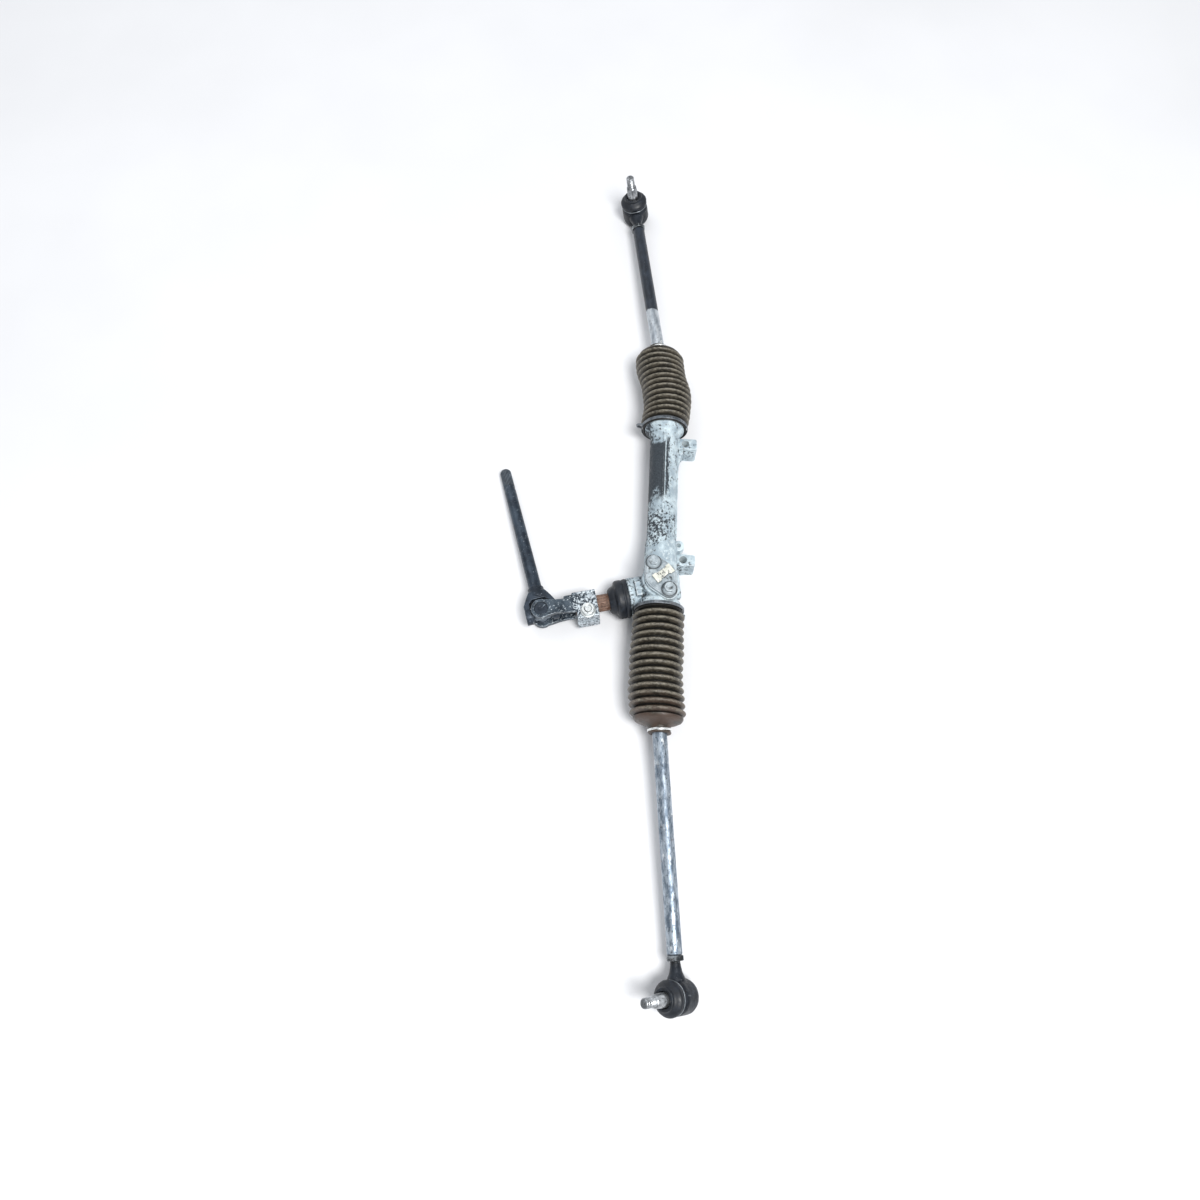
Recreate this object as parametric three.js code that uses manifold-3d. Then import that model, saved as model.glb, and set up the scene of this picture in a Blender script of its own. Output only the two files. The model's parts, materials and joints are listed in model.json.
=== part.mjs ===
// A manual rack-and-pinion steering gear with both bellows, tie rods, ball-joint ends and the
// folded universal joint and intermediate shaft still clamped to the pinion. Millimetres, +Z up.
// Working frame: the rack axis runs along X at RACK_HEIGHT, the pinion axis crosses under it at
// X = 0, the pinion shaft leaves towards -Y, and the mounting ears are on the +Y side. The "near"
// tie rod is at +X and the "far" one at -X. The last lines put the origin at bottom centre.
import * as THREE from 'three';
import { mergeVertices } from 'three/addons/utils/BufferGeometryUtils.js';
import Module from 'manifold-3d';

const wasm = await Module();
wasm.setup();

// ---- driving dimensions ----------------------------------------------------------------------
const GAP = 0.3; // clearance kept between separate pieces
const FACET_ERROR = 0.24; // how far a flat facet may lie inside its true round surface
const RACK_HEIGHT = 35.1;
const PINION_HEIGHT = 22;
const PINION_LEAN = THREE.MathUtils.degToRad(13.9); // pinion axis off the square, seen from above

// gear pair: teeth lie along the pinion axis, on the underside of the rack
const GEAR_MODULE = 1.75;
const PRESSURE_ANGLE = THREE.MathUtils.degToRad(20);
const PINION_TEETH = 7;
const PROFILE_SHIFT = 0.6;
const MESH_CLEARANCE = 0.15;
const PINION_TIP_RADIUS = 8.3;
const PITCH = Math.PI * GEAR_MODULE;
const PITCH_RADIUS = (GEAR_MODULE * PINION_TEETH) / 2;
const TOOTH_FACE = [-11, 12]; // pinion tooth length along its axis

// rack bar
const RACK_RADIUS = 11;
const TOOTHED_LENGTH = [-48, 90];
const NEAR_BALL_X = 114; // inner ball centres, with the rack 15 mm to the near side of middle
const FAR_BALL_X = -254;
const INNER_BALL_RADIUS = 11;
const SOCKET_RADIUS = 17;
const SOCKET_BACK = 20; // ball centre to the socket's back face
const WASHER_THICKNESS = 2;
const RACK_END_SETBACK = SOCKET_BACK + WASHER_THICKNESS + 2 * GAP;

// housing
const TUBE_RADIUS = 16;
const BARREL_RADIUS = 18;
const BELL_RADIUS = 23; // the ends that the bellows clamp on
const BELL_BORE = 19;
const NEAR_STOP_X = 22; // faces that the rack's end washers stop against
const FAR_STOP_X = -198;
const BELL_DEPTH = 6.5;
const HOUSING_TOP = 60;
const GUIDE_X = -3;
const GUIDE_RADIUS = 11;
const COVER_SCREW_SPAN = 35;
const COVER_ANGLE = THREE.MathUtils.degToRad(30);
const COVER_THICKNESS = 5;
const EAR_HEIGHT = 28;
const EAR_HOLE_RADIUS = 4.5;
const EAR_PAD = { radius: 7.3, top: 28.5 }; // machined face round each mounting hole
const NEAR_EAR = { x: -38.4, y: 25.6, halfLength: 6.5, outer: 39.3 };
const FAR_EAR = { x: -187, y: 25.6, halfLength: 7, outer: 39.3 };
const SMALL_EAR = { x: -49.6, y: 19.2, bottom: 30, top: 41, radius: 6, hole: 2.75 };

// pinion, measured along its axis from the crossing
const TOWER_RADIUS = PINION_HEIGHT;
const TOWER_END = 34.5;
const NECK_RADIUS = 19.3;
const NECK_END = 46;
const SHAFT_RADIUS = 9.7;
const SPLINE_RADIUS = 9.2;
const BEARING = { start: 15, width: 7, bore: 10, outer: 16, ballCircle: 13, ball: 1.6, balls: 8 };
const YOKE_START = 70;
const YOKE_HUB_END = 94;
const YOKE_HALF_HEIGHT = 13.5;
const PINCH_BOLT = { x: 81.6, y: 10.8, radius: 3.9 }; // it passes through a groove in the splines
const JOINT_CENTRE = 131.4;

// universal joint
const EAR_INNER = 11.3; // half the gap between a yoke's ears
const EAR_OUTER = 17.8;
const CUP_RADIUS = 7.5;
const TRUNNION_RADIUS = 5;
const JOINT_FOLD = THREE.MathUtils.degToRad(-86.2);
const SHAFT_DROOP = THREE.MathUtils.degToRad(4.6);
const INTERMEDIATE_LENGTH = 193; // joint centre to the shaft's free end
const SHAFT_SEAT = 18; // joint centre to the end inside the yoke
const INTERMEDIATE_RADIUS = 7.3;

// tie rods
const ROD_LENGTH = 297.4; // inner ball to outer ball
const ROD_RADIUS = 7.5;
const ROD_END_FACE = 260; // inner ball to the end of the tie rod, where the lock nut bears
const THREAD_RADIUS = 5; // of the rod end, screwed into the tie rod
const OUTER_BALL_RADIUS = 10;
const CUP_OUTER_RADIUS = 16.5;
const STUD_NECK_RADIUS = 5.75;
const NEAR_ROD = { x: NEAR_BALL_X, heading: 5.65, outerHeight: 21.8, roll: 40 };
const FAR_ROD = { x: FAR_BALL_X, heading: 189.07, outerHeight: 17.4, roll: -9 };

// bellows: straight length, and the widest rings at each end
const NEAR_BELLOWS = { length: 139, rings: 14, firstCrest: 27.5, lastCrest: 30 };
const CUFF_START = 1.2; // the rack stop to the large end's edge
const FAR_BELLOWS = { length: 119, rings: 13, firstCrest: 27.5, lastCrest: 29.5 };

// ---- finishes --------------------------------------------------------------------------------
const finish = (color, roughness, metalness) =>
  new THREE.MeshStandardMaterial({ color, roughness, metalness });
const CAST_ALUMINIUM = finish(0xb9c3c8, 0.65, 0.6);
const BRIGHT_STEEL = finish(0xa9adb0, 0.35, 0.9);
const DULL_STEEL = finish(0x8d9195, 0.5, 0.85);
const BLACKED_STEEL = finish(0x2b3138, 0.45, 0.6);
const RUSTY_STEEL = finish(0x6b5148, 0.75, 0.6);
const RUBBER = finish(0x1d1f22, 0.7, 0);
const DUSTY_RUBBER = finish(0x5c594e, 0.8, 0);
const POLYMER = finish(0xcfc8b4, 0.5, 0);
const PALE_PAINT = finish(0xe4e6df, 0.55, 0.1);
const BRONZE = finish(0x9b7b4a, 0.4, 0.8);

// ---- geometry helpers ------------------------------------------------------------------------
function solidOf(geometry) {
  const bare = geometry.clone();
  bare.deleteAttribute('normal');
  bare.deleteAttribute('uv');
  const merged = mergeVertices(bare, 1e-4);
  const index = Array.from(merged.index.array);
  const triangles = [];
  for (let i = 0; i < index.length; i += 3) {
    const [a, b, c] = index.slice(i, i + 3);
    if (a !== b && b !== c && c !== a) triangles.push(a, b, c);
  }
  const mesh = new wasm.Mesh({
    numProp: 3,
    vertProperties: new Float32Array(merged.attributes.position.array),
    triVerts: new Uint32Array(triangles),
  });
  mesh.merge();
  return new wasm.Manifold(mesh);
}

function geometryOf(solid) {
  const mesh = solid.getMesh();
  const geometry = new THREE.BufferGeometry();
  geometry.setAttribute('position', new THREE.BufferAttribute(mesh.vertProperties, 3));
  geometry.setIndex(new THREE.BufferAttribute(mesh.triVerts, 1));
  return geometry;
}

function joined(...geometries) {
  return geometryOf(geometries.map(solidOf).reduce((sum, next) => sum.add(next)));
}

function cut(geometry, ...tools) {
  const rest = tools.map(solidOf).reduce((left, tool) => left.subtract(tool), solidOf(geometry));
  return geometryOf(rest);
}

function common(first, second) {
  return geometryOf(solidOf(first).intersect(solidOf(second)));
}

// A multiple of four facets, so that round pieces keep their widest points on the axes.
const facetsFor = (radius) => 4 * Math.ceil(Math.PI / Math.acos(1 - FACET_ERROR / radius) / 4);

// A profile is a list of [along, radius] pairs, counter-clockwise about the material.
function turned(profile, axis = 'x', segments = facetsFor(Math.max(...profile.map(([, r]) => r)))) {
  const points = profile.map(([along, radius]) => new THREE.Vector2(radius, along));
  const geometry = new THREE.LatheGeometry(points, segments);
  if (axis === 'x') geometry.rotateZ(-Math.PI / 2);
  else if (axis === 'z') geometry.rotateX(Math.PI / 2);
  return geometry;
}

function bar(start, end, radius, axis = 'x') {
  return turned([[start, 0], [start, radius], [end, radius], [end, 0]], axis);
}

function ring(start, end, inner, outer, axis = 'x') {
  const profile = [[start, inner], [start, outer], [end, outer], [end, inner], [start, inner]];
  return turned(profile, axis);
}

function block([x0, x1], [y0, y1], [z0, z1]) {
  const geometry = new THREE.BoxGeometry(x1 - x0, y1 - y0, z1 - z0);
  return geometry.translate((x0 + x1) / 2, (y0 + y1) / 2, (z0 + z1) / 2);
}

function prism(shape, start, end, axis = 'z', curveSegments = 7) {
  const options = { depth: end - start, bevelEnabled: false, curveSegments };
  const geometry = new THREE.ExtrudeGeometry(shape, options).translate(0, 0, start);
  const x = new THREE.Vector3(1, 0, 0);
  const y = new THREE.Vector3(0, 1, 0);
  const z = new THREE.Vector3(0, 0, 1);
  const turn = new THREE.Matrix4();
  if (axis === 'x') turn.makeBasis(y, z, x); // the shape's plane becomes Y, Z
  if (axis === 'y') turn.makeBasis(z, x, y); // the shape's plane becomes Z, X
  return geometry.applyMatrix4(turn);
}

const outline = (points) => new THREE.Shape(points.map(([u, v]) => new THREE.Vector2(u, v)));

function arc(radius, fromDegrees, toDegrees, steps) {
  const points = [];
  for (let i = 0; i <= steps; i += 1) {
    const angle = THREE.MathUtils.degToRad(fromDegrees + ((toDegrees - fromDegrees) * i) / steps);
    points.push([radius * Math.cos(angle), radius * Math.sin(angle)]);
  }
  return points;
}

// Three circles in a row wrapped by their tangents: a two-bolt flange.
function lozenge(middle, end, span) {
  const angle = Math.acos((middle - end) / (span / 2));
  const shape = new THREE.Shape();
  shape.absarc(span / 2, 0, end, -angle, angle, false);
  shape.absarc(0, 0, middle, angle, Math.PI - angle, false);
  shape.absarc(-span / 2, 0, end, Math.PI - angle, Math.PI + angle, false);
  shape.absarc(0, 0, middle, Math.PI + angle, 2 * Math.PI - angle, false);
  return shape;
}

function hexagon(acrossFlats) {
  const corner = acrossFlats / Math.sqrt(3);
  return outline(arc(corner, 0, 300, 5));
}

function star(teeth, outer, inner) {
  const points = [];
  for (let i = 0; i < teeth; i += 1) {
    for (const [share, radius] of [[0, outer], [0.35, outer], [0.5, inner], [0.85, inner]]) {
      const angle = ((i + share) / teeth) * 2 * Math.PI;
      points.push([radius * Math.cos(angle), radius * Math.sin(angle)]);
    }
  }
  return outline(points);
}

function part(name, geometry, material) {
  const mesh = new THREE.Mesh(geometryOf(solidOf(geometry)), material);
  mesh.name = name;
  return mesh;
}

function framed(parent, x, y, z) {
  const group = new THREE.Group();
  group.position.set(x, y, z);
  parent.add(group);
  return group;
}

// ---- frames ----------------------------------------------------------------------------------
const steeringGear = new THREE.Group();
const gear = framed(steeringGear, 0, 0, 0);
const rackFrame = framed(gear, 0, 0, RACK_HEIGHT);
const pinionFrame = framed(gear, 0, 0, PINION_HEIGHT);
pinionFrame.rotation.z = PINION_LEAN - Math.PI / 2; // local +X leaves the housing along the pinion
pinionFrame.updateMatrix();

const onRackAxis = (geometry) => geometry.translate(0, 0, RACK_HEIGHT);
const onPinionAxis = (geometry) => geometry.applyMatrix4(pinionFrame.matrix);
const onGuideAxis = (geometry) => geometry.rotateZ(COVER_ANGLE).translate(GUIDE_X, 0, 0);
const coverScrews = [-1, 1].map((side) => (side * COVER_SCREW_SPAN) / 2);

// ---- housing ---------------------------------------------------------------------------------
function housingBody() {
  const farFace = FAR_STOP_X - BELL_DEPTH;
  const nearFace = NEAR_STOP_X + BELL_DEPTH;
  const profile = [
    [farFace, 0], [farFace, BELL_RADIUS - 1], [farFace + 1, BELL_RADIUS], [FAR_STOP_X, BELL_RADIUS],
    [FAR_STOP_X + 5, TUBE_RADIUS + 1], [FAR_STOP_X + 9, TUBE_RADIUS], [-64, TUBE_RADIUS],
    [-44, BARREL_RADIUS], [NEAR_STOP_X - 8, BARREL_RADIUS], [NEAR_STOP_X - 5, BELL_RADIUS],
    [nearFace - 1, BELL_RADIUS], [nearFace, BELL_RADIUS - 1], [nearFace, 0],
  ];
  return onRackAxis(turned(profile, 'x'));
}

function pinionTower() {
  const tower = turned([
    [-23, 0], [-23, 10], [-21, 12], [-4, 13], [-2, TOWER_RADIUS - 2], [0, TOWER_RADIUS],
    [TOWER_END - 1, TOWER_RADIUS], [TOWER_END, TOWER_RADIUS - 1], [TOWER_END, NECK_RADIUS],
    [NECK_END, NECK_RADIUS], [NECK_END, 0],
  ], 'x');
  const bellowsRoom = bar(NEAR_STOP_X - GAP, NEAR_STOP_X + 60, 29);
  return cut(onPinionAxis(tower), onRackAxis(bellowsRoom));
}

function guideBoss() {
  const flange = prism(lozenge(17.5, 9.5, COVER_SCREW_SPAN), RACK_HEIGHT, HOUSING_TOP);
  return onGuideAxis(flange);
}

function mountingEar(ear) {
  const corner = 4;
  const shape = outline([
    [-ear.halfLength, 8], [ear.halfLength, 8], [ear.halfLength, ear.outer - corner],
    [ear.halfLength - corner, ear.outer], [corner - ear.halfLength, ear.outer],
    [-ear.halfLength, ear.outer - corner],
  ]);
  return [
    prism(shape, 0, EAR_HEIGHT).translate(ear.x, 0, 0),
    bar(0, EAR_PAD.top, EAR_PAD.radius, 'z').translate(ear.x, ear.y, 0),
  ];
}

function gussets() {
  const farWeb = outline([[0, 8], [34, 8], [26, 18], [10, 24], [0, 31]]);
  const nearWeb = outline([[-22, 8], [0, 8], [0, 30], [-12, 22]]);
  return [
    prism(farWeb, 7, EAR_HEIGHT - 5).translate(FAR_EAR.x, 0, 0),
    prism(nearWeb, 7, EAR_HEIGHT - 4).translate(NEAR_EAR.x, 0, 0),
    block([-170, -60], [TUBE_RADIUS - 2, TUBE_RADIUS + 1.5], [RACK_HEIGHT - 1.5, RACK_HEIGHT + 1.5]),
  ];
}

function smallEar() {
  const boss = bar(SMALL_EAR.bottom, SMALL_EAR.top, SMALL_EAR.radius, 'z');
  return boss.translate(SMALL_EAR.x, SMALL_EAR.y, 0);
}

function towerRib() {
  const web = outline([[-12, 0], [10, 0], [8, 26], [-8, 26]]);
  return onPinionAxis(prism(web, -3, 3, 'x').translate(24, 0, 0));
}

function housingBores() {
  const farFace = FAR_STOP_X - BELL_DEPTH;
  const nearFace = NEAR_STOP_X + BELL_DEPTH;
  const alongRack = [
    bar(farFace - 1, nearFace + 1, RACK_RADIUS + 0.6),
    bar(farFace - 1, FAR_STOP_X, BELL_BORE),
    bar(NEAR_STOP_X, nearFace + 1, BELL_BORE),
    bar(FAR_STOP_X - 1, FAR_STOP_X + 20, RACK_RADIUS + 3),
  ];
  const circlipGroove = BEARING.start + BEARING.width + 2 * GAP;
  const alongPinion = [
    bar(TOOTH_FACE[0] - 1, BEARING.start, PINION_TIP_RADIUS + 1.2),
    bar(-21.5, TOOTH_FACE[0], 8.3, 'x'),
    bar(BEARING.start - GAP, NECK_END + 1, BEARING.outer + GAP),
    bar(circlipGroove, circlipGroove + 1.8, BEARING.outer + 1.6),
  ];
  const boltHole = (x) => bar(HOUSING_TOP - 20, HOUSING_TOP + 1, 4.3, 'z').translate(x, 0, 0);
  const guideBore = bar(RACK_HEIGHT, HOUSING_TOP + 1, GUIDE_RADIUS + GAP, 'z');
  const earHole = (ear) => bar(-1, EAR_HEIGHT + 1, EAR_HOLE_RADIUS, 'z').translate(ear.x, ear.y, 0);
  const smallHole = bar(SMALL_EAR.bottom - 1, SMALL_EAR.top + 1, SMALL_EAR.hole, 'z');
  return [
    ...alongRack.map(onRackAxis),
    ...alongPinion.map(onPinionAxis),
    ...[guideBore, ...coverScrews.map(boltHole)].map(onGuideAxis),
    ...[NEAR_EAR, FAR_EAR].map(earHole),
    smallHole.translate(SMALL_EAR.x, SMALL_EAR.y, 0),
  ];
}

function rackHousing() {
  const casting = joined(
    housingBody(), pinionTower(), guideBoss(), ...mountingEar(NEAR_EAR), ...mountingEar(FAR_EAR),
    ...gussets(), smallEar(), towerRib(),
  );
  return part('rack_housing', cut(casting, ...housingBores()), CAST_ALUMINIUM);
}

function rackBush() {
  const bush = ring(FAR_STOP_X + GAP, FAR_STOP_X + 19, RACK_RADIUS + GAP, RACK_RADIUS + 2.7, 'x');
  return part('rack_bush', bush, POLYMER);
}

// ---- rack guide under its two-bolt cover -----------------------------------------------------
const GUIDE_TOP = 56;
const SPRING = { radius: 6.5, wire: 1.1, turns: 2.5, start: 51.4, end: 58.9 };

function rackGuide() {
  const height = GUIDE_TOP - RACK_HEIGHT;
  const slug = turned([
    [0, 0], [0, GUIDE_RADIUS - 1], [1, GUIDE_RADIUS], [height, GUIDE_RADIUS], [height, 0],
  ], 'z');
  const saddle = bar(-20, 20, RACK_RADIUS + GAP, 'x');
  const pocketFloor = SPRING.start - SPRING.wire - GAP - RACK_HEIGHT;
  const springPocket = bar(pocketFloor, 30, SPRING.radius + SPRING.wire + GAP, 'z');
  const rackSide = block([-20, 20], [-20, 20], [-5, 3]);
  const guide = cut(slug, saddle, springPocket, rackSide);
  return part('rack_guide', guide.translate(GUIDE_X, 0, RACK_HEIGHT), BRONZE);
}

function guideSpring() {
  const coil = new THREE.CatmullRomCurve3(
    Array.from({ length: 31 }, (_, i) => {
      const angle = (i / 30) * SPRING.turns * 2 * Math.PI;
      const height = SPRING.start + ((SPRING.end - SPRING.start) * i) / 30;
      return new THREE.Vector3(SPRING.radius * Math.cos(angle), SPRING.radius * Math.sin(angle), height);
    }),
  );
  const wire = new THREE.Shape().absarc(0, 0, SPRING.wire, 0, 2 * Math.PI, false);
  const geometry = new THREE.ExtrudeGeometry(wire, { steps: 36, curveSegments: 2, extrudePath: coil });
  return part('guide_spring', geometry.translate(GUIDE_X, 0, 0), BRIGHT_STEEL);
}

function guideCover() {
  const bottom = HOUSING_TOP + GAP;
  const plate = prism(lozenge(16.5, 9, COVER_SCREW_SPAN), bottom, bottom + COVER_THICKNESS);
  const boltHole = (x) => bar(bottom - 1, bottom + COVER_THICKNESS + 1, 4.6, 'z').translate(x, 0, 0);
  const cover = cut(plate, ...coverScrews.map(boltHole));
  return part('guide_cover', onGuideAxis(cover), DULL_STEEL);
}

// A blank raised plate shaped like a bow tie, lying across the middle of the cover.
function coverLabel() {
  const shape = outline([
    [-11.5, -5.4], [-6.5, -5.4], [-5.5, -4], [5.5, -4], [6.5, -5.4], [11.5, -5.4],
    [11.5, 5.4], [6.5, 5.4], [5.5, 4.2], [-5.5, 4.2], [-6.5, 5.4], [-11.5, 5.4],
  ]);
  const bottom = HOUSING_TOP + COVER_THICKNESS + 2 * GAP;
  const label = prism(shape, bottom, bottom + 1.8).rotateZ(THREE.MathUtils.degToRad(130));
  return part('cover_label', label.translate(GUIDE_X - 2, 2, 0), PALE_PAINT);
}

function coverBolt(number, x) {
  const seat = HOUSING_TOP + COVER_THICKNESS + 2 * GAP;
  const shank = bar(seat - 20, seat + 1, 3.9, 'z');
  const flange = turned([[seat, 0], [seat, 8.2], [seat + 1, 8.2], [seat + 2, 6.6], [seat + 2, 0]], 'z');
  const head = prism(hexagon(12), seat + 1, seat + 7.2);
  const bolt = onGuideAxis(joined(shank, flange, head).translate(x, 0, 0));
  return part(`cover_bolt_${number}`, bolt, DULL_STEEL);
}

// ---- pinion and its bearings -----------------------------------------------------------------
function pinionTooth(centreAngle) {
  const base = PITCH_RADIUS * Math.cos(PRESSURE_ANGLE);
  const involute = (angle) => Math.tan(angle) - angle;
  const thickness = GEAR_MODULE * (Math.PI / 2 + 2 * PROFILE_SHIFT * Math.tan(PRESSURE_ANGLE));
  const half = (radius) => {
    const bend = radius > base ? involute(Math.acos(base / radius)) : 0;
    return thickness / (2 * PITCH_RADIUS) + involute(PRESSURE_ANGLE) - bend;
  };
  const root = PITCH_RADIUS + PROFILE_SHIFT * GEAR_MODULE - 1.25 * GEAR_MODULE;
  const radii = [root, base, 6.2, 6.8, 7.4, 7.9, PINION_TIP_RADIUS];
  const at = (radius, side) => {
    const angle = centreAngle + side * half(radius);
    return [radius * Math.cos(angle), radius * Math.sin(angle)];
  };
  return [...radii.map((r) => at(r, -1)), ...radii.reverse().map((r) => at(r, 1))];
}

function pinionShaft() {
  const flanks = [];
  for (let i = 0; i < PINION_TEETH; i += 1) {
    flanks.push(...pinionTooth(Math.PI / 2 + (i * 2 * Math.PI) / PINION_TEETH));
  }
  const teeth = prism(outline(flanks), TOOTH_FACE[0], TOOTH_FACE[1], 'x');
  const body = turned([
    [-20.5, 0], [-20.5, 4.4], [-20, 5], [TOOTH_FACE[0] + 0.5, 5], [TOOTH_FACE[0] + 0.5, 0],
  ], 'x');
  const shaft = turned([
    [TOOTH_FACE[1] - 0.5, 0], [TOOTH_FACE[1] - 0.5, PINION_TIP_RADIUS + 0.9], [14.9, PINION_TIP_RADIUS + 0.9],
    [14.9, SHAFT_RADIUS], [57, SHAFT_RADIUS], [58, 8], [93.5, 8], [94, 7.6], [94, 0],
  ], 'x');
  const splines = prism(star(16, SPLINE_RADIUS, SPLINE_RADIUS - 0.5), 57.5, 93, 'x');
  const grooveRadius = PINCH_BOLT.y - PINCH_BOLT.radius - GAP;
  const boltGroove = ring(PINCH_BOLT.x - 4.6, PINCH_BOLT.x + 4.6, grooveRadius, 12, 'x');
  return part('pinion_shaft', cut(joined(teeth, body, shaft, splines), boltGroove), RUSTY_STEEL);
}

function bearingRing(name, inner, outer) {
  return part(name, ring(BEARING.start, BEARING.start + BEARING.width, inner, outer, 'x'), BRIGHT_STEEL);
}

function bearingBalls() {
  const middle = BEARING.start + BEARING.width / 2;
  const cage = ring(middle - 1, middle + 1, BEARING.ballCircle - 0.5, BEARING.ballCircle + 0.5);
  const balls = [];
  for (let i = 0; i < BEARING.balls; i += 1) {
    const angle = (i / BEARING.balls) * 2 * Math.PI;
    const ball = new THREE.SphereGeometry(BEARING.ball, 6, 4);
    const [y, z] = [BEARING.ballCircle * Math.cos(angle), BEARING.ballCircle * Math.sin(angle)];
    balls.push(ball.translate(middle, y, z));
  }
  return part('pinion_bearing_balls', joined(cage, ...balls), BRIGHT_STEEL);
}

function openRing(start, end, inner, outer, gapWidth) {
  const gap = block([start - 1, end + 1], [-gapWidth / 2, gapWidth / 2], [-outer - 2, -2]);
  return cut(ring(start, end, inner, outer, 'x'), gap);
}

function pinionSupports() {
  const circlip = BEARING.start + BEARING.width + 3 * GAP;
  const cap = turned([
    [TOWER_END + GAP, NECK_RADIUS + GAP], [TOWER_END + GAP, 21.7], [TOWER_END + 13.5, 21.5],
    [TOWER_END + 17.5, 16], [TOWER_END + 22, 13], [TOWER_END + 22, SHAFT_RADIUS + GAP],
    [TOWER_END + 17, SHAFT_RADIUS + GAP + 1], [NECK_END + GAP, NECK_RADIUS + GAP],
    [TOWER_END + GAP, NECK_RADIUS + GAP],
  ], 'x');
  return [
    part('pinion_needle_bush', ring(-20.3, -12.3, 5 + GAP, 8, 'x'), BRONZE),
    part('pinion_circlip', openRing(circlip, circlip + 1.2, 14.2, BEARING.outer + 1.3, 7), DULL_STEEL),
    part('pinion_oil_seal', ring(37, 44, SHAFT_RADIUS + GAP, BEARING.outer, 'x'), RUBBER),
    part('pinion_dust_cap', cap, RUBBER),
  ];
}

// ---- universal joint -------------------------------------------------------------------------
// Side outline (along the shaft, height) of a clamp-yoke arm, bent outwards to its ear.
function clampYokeArm(side) {
  const profile = [
    [YOKE_HUB_END - 4, 9.2], [107.4, 9.2], [113.9, EAR_INNER], [JOINT_CENTRE + 12, EAR_INNER],
    [JOINT_CENTRE + 12, EAR_OUTER], [117, EAR_OUTER], [105, YOKE_HALF_HEIGHT],
    [YOKE_HUB_END - 4, YOKE_HALF_HEIGHT],
  ];
  const arm = prism(outline(profile.map(([x, z]) => [side * z, x])), -12, 12, 'y');
  const plan = joined(
    block([YOKE_HUB_END - 5, JOINT_CENTRE], [-8.6, 8.6], [-30, 30]),
    bar(-30, 30, 10.8, 'z').translate(JOINT_CENTRE, 0, 0),
  );
  return common(arm, plan);
}

function clampYoke() {
  const top = YOKE_HALF_HEIGHT;
  const bend = new THREE.Shape();
  bend.moveTo(-4.5, -top).lineTo(19.5, -top).lineTo(19.5, 0);
  bend.lineTo(17.5, 0).lineTo(17.5, top).lineTo(-4.5, top);
  bend.absarc(-4.5, 5.5, 8, Math.PI / 2, Math.PI, false);
  bend.absarc(-4.5, -5.5, 8, Math.PI, (3 * Math.PI) / 2, false);
  const hub = prism(bend, YOKE_START, YOKE_HUB_END, 'x', 6);
  const backWall = block([YOKE_HUB_END - 4, 105], [-12, -8], [-10.5, 10.5]);
  const crotch = block([YOKE_HUB_END - 4, 102], [-11.5, -5.5], [-11, 11]);
  const blank = joined(hub, backWall, crotch, clampYokeArm(1), clampYokeArm(-1));
  return part('clamp_yoke', cut(
    blank,
    bar(YOKE_START - 1, 120, SPLINE_RADIUS + GAP, 'x'),
    block([YOKE_START - 1, YOKE_HUB_END + 1], [4, 30], [-1.6, 1.6]),
    bar(-30, 30, PINCH_BOLT.radius + GAP, 'z').translate(PINCH_BOLT.x, PINCH_BOLT.y, 0),
    bar(-30, 30, CUP_RADIUS + GAP, 'z').translate(JOINT_CENTRE, 0, 0),
  ), BLACKED_STEEL);
}

function pinchBolt() {
  const top = YOKE_HALF_HEIGHT + GAP;
  const nutTop = top + 6.5;
  const shank = bar(-top - 0.7, nutTop + 1.5, PINCH_BOLT.radius, 'z');
  const head = joined(prism(hexagon(12), -top - 4.9, -top - 0.4), bar(-top - 0.9, -top, 8, 'z'), shank);
  const nut = cut(
    joined(prism(hexagon(13), top, nutTop), bar(top, top + 1.3, 8, 'z')),
    bar(top - 1, nutTop + 1, PINCH_BOLT.radius + GAP, 'z'),
  );
  return [
    part('pinch_bolt', head.translate(PINCH_BOLT.x, PINCH_BOLT.y, 0), DULL_STEEL),
    part('pinch_nut', nut.translate(PINCH_BOLT.x, PINCH_BOLT.y, 0), BRIGHT_STEEL),
  ];
}

function bearingCup(name, axis, side) {
  const mouth = EAR_INNER - 1.8;
  const end = EAR_OUTER - 0.4;
  const outer = turned([
    [mouth, 0], [mouth, CUP_RADIUS], [end - 0.6, CUP_RADIUS], [end, CUP_RADIUS - 0.8], [end, 0],
  ], 'z');
  const cup = cut(outer, bar(mouth - 1, end - 1.6, TRUNNION_RADIUS + GAP, 'z'));
  if (side < 0) cup.rotateX(Math.PI);
  if (axis === 'y') cup.rotateX(-Math.PI / 2);
  return part(name, cup, BRIGHT_STEEL);
}

function cross() {
  const end = EAR_OUTER - 2.5;
  const hub = EAR_INNER - 2.6;
  const arms = ['z', 'y'].map((axis) => {
    const arm = turned([
      [-end, 0], [-end, 4.4], [0.6 - end, TRUNNION_RADIUS], [-hub, TRUNNION_RADIUS], [-hub, 6.6],
      [hub, 6.6], [hub, TRUNNION_RADIUS], [end - 0.6, TRUNNION_RADIUS], [end, 4.4], [end, 0],
    ], 'z');
    return axis === 'y' ? arm.rotateX(Math.PI / 2) : arm;
  });
  return part('joint_cross', joined(...arms), DULL_STEEL);
}

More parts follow.
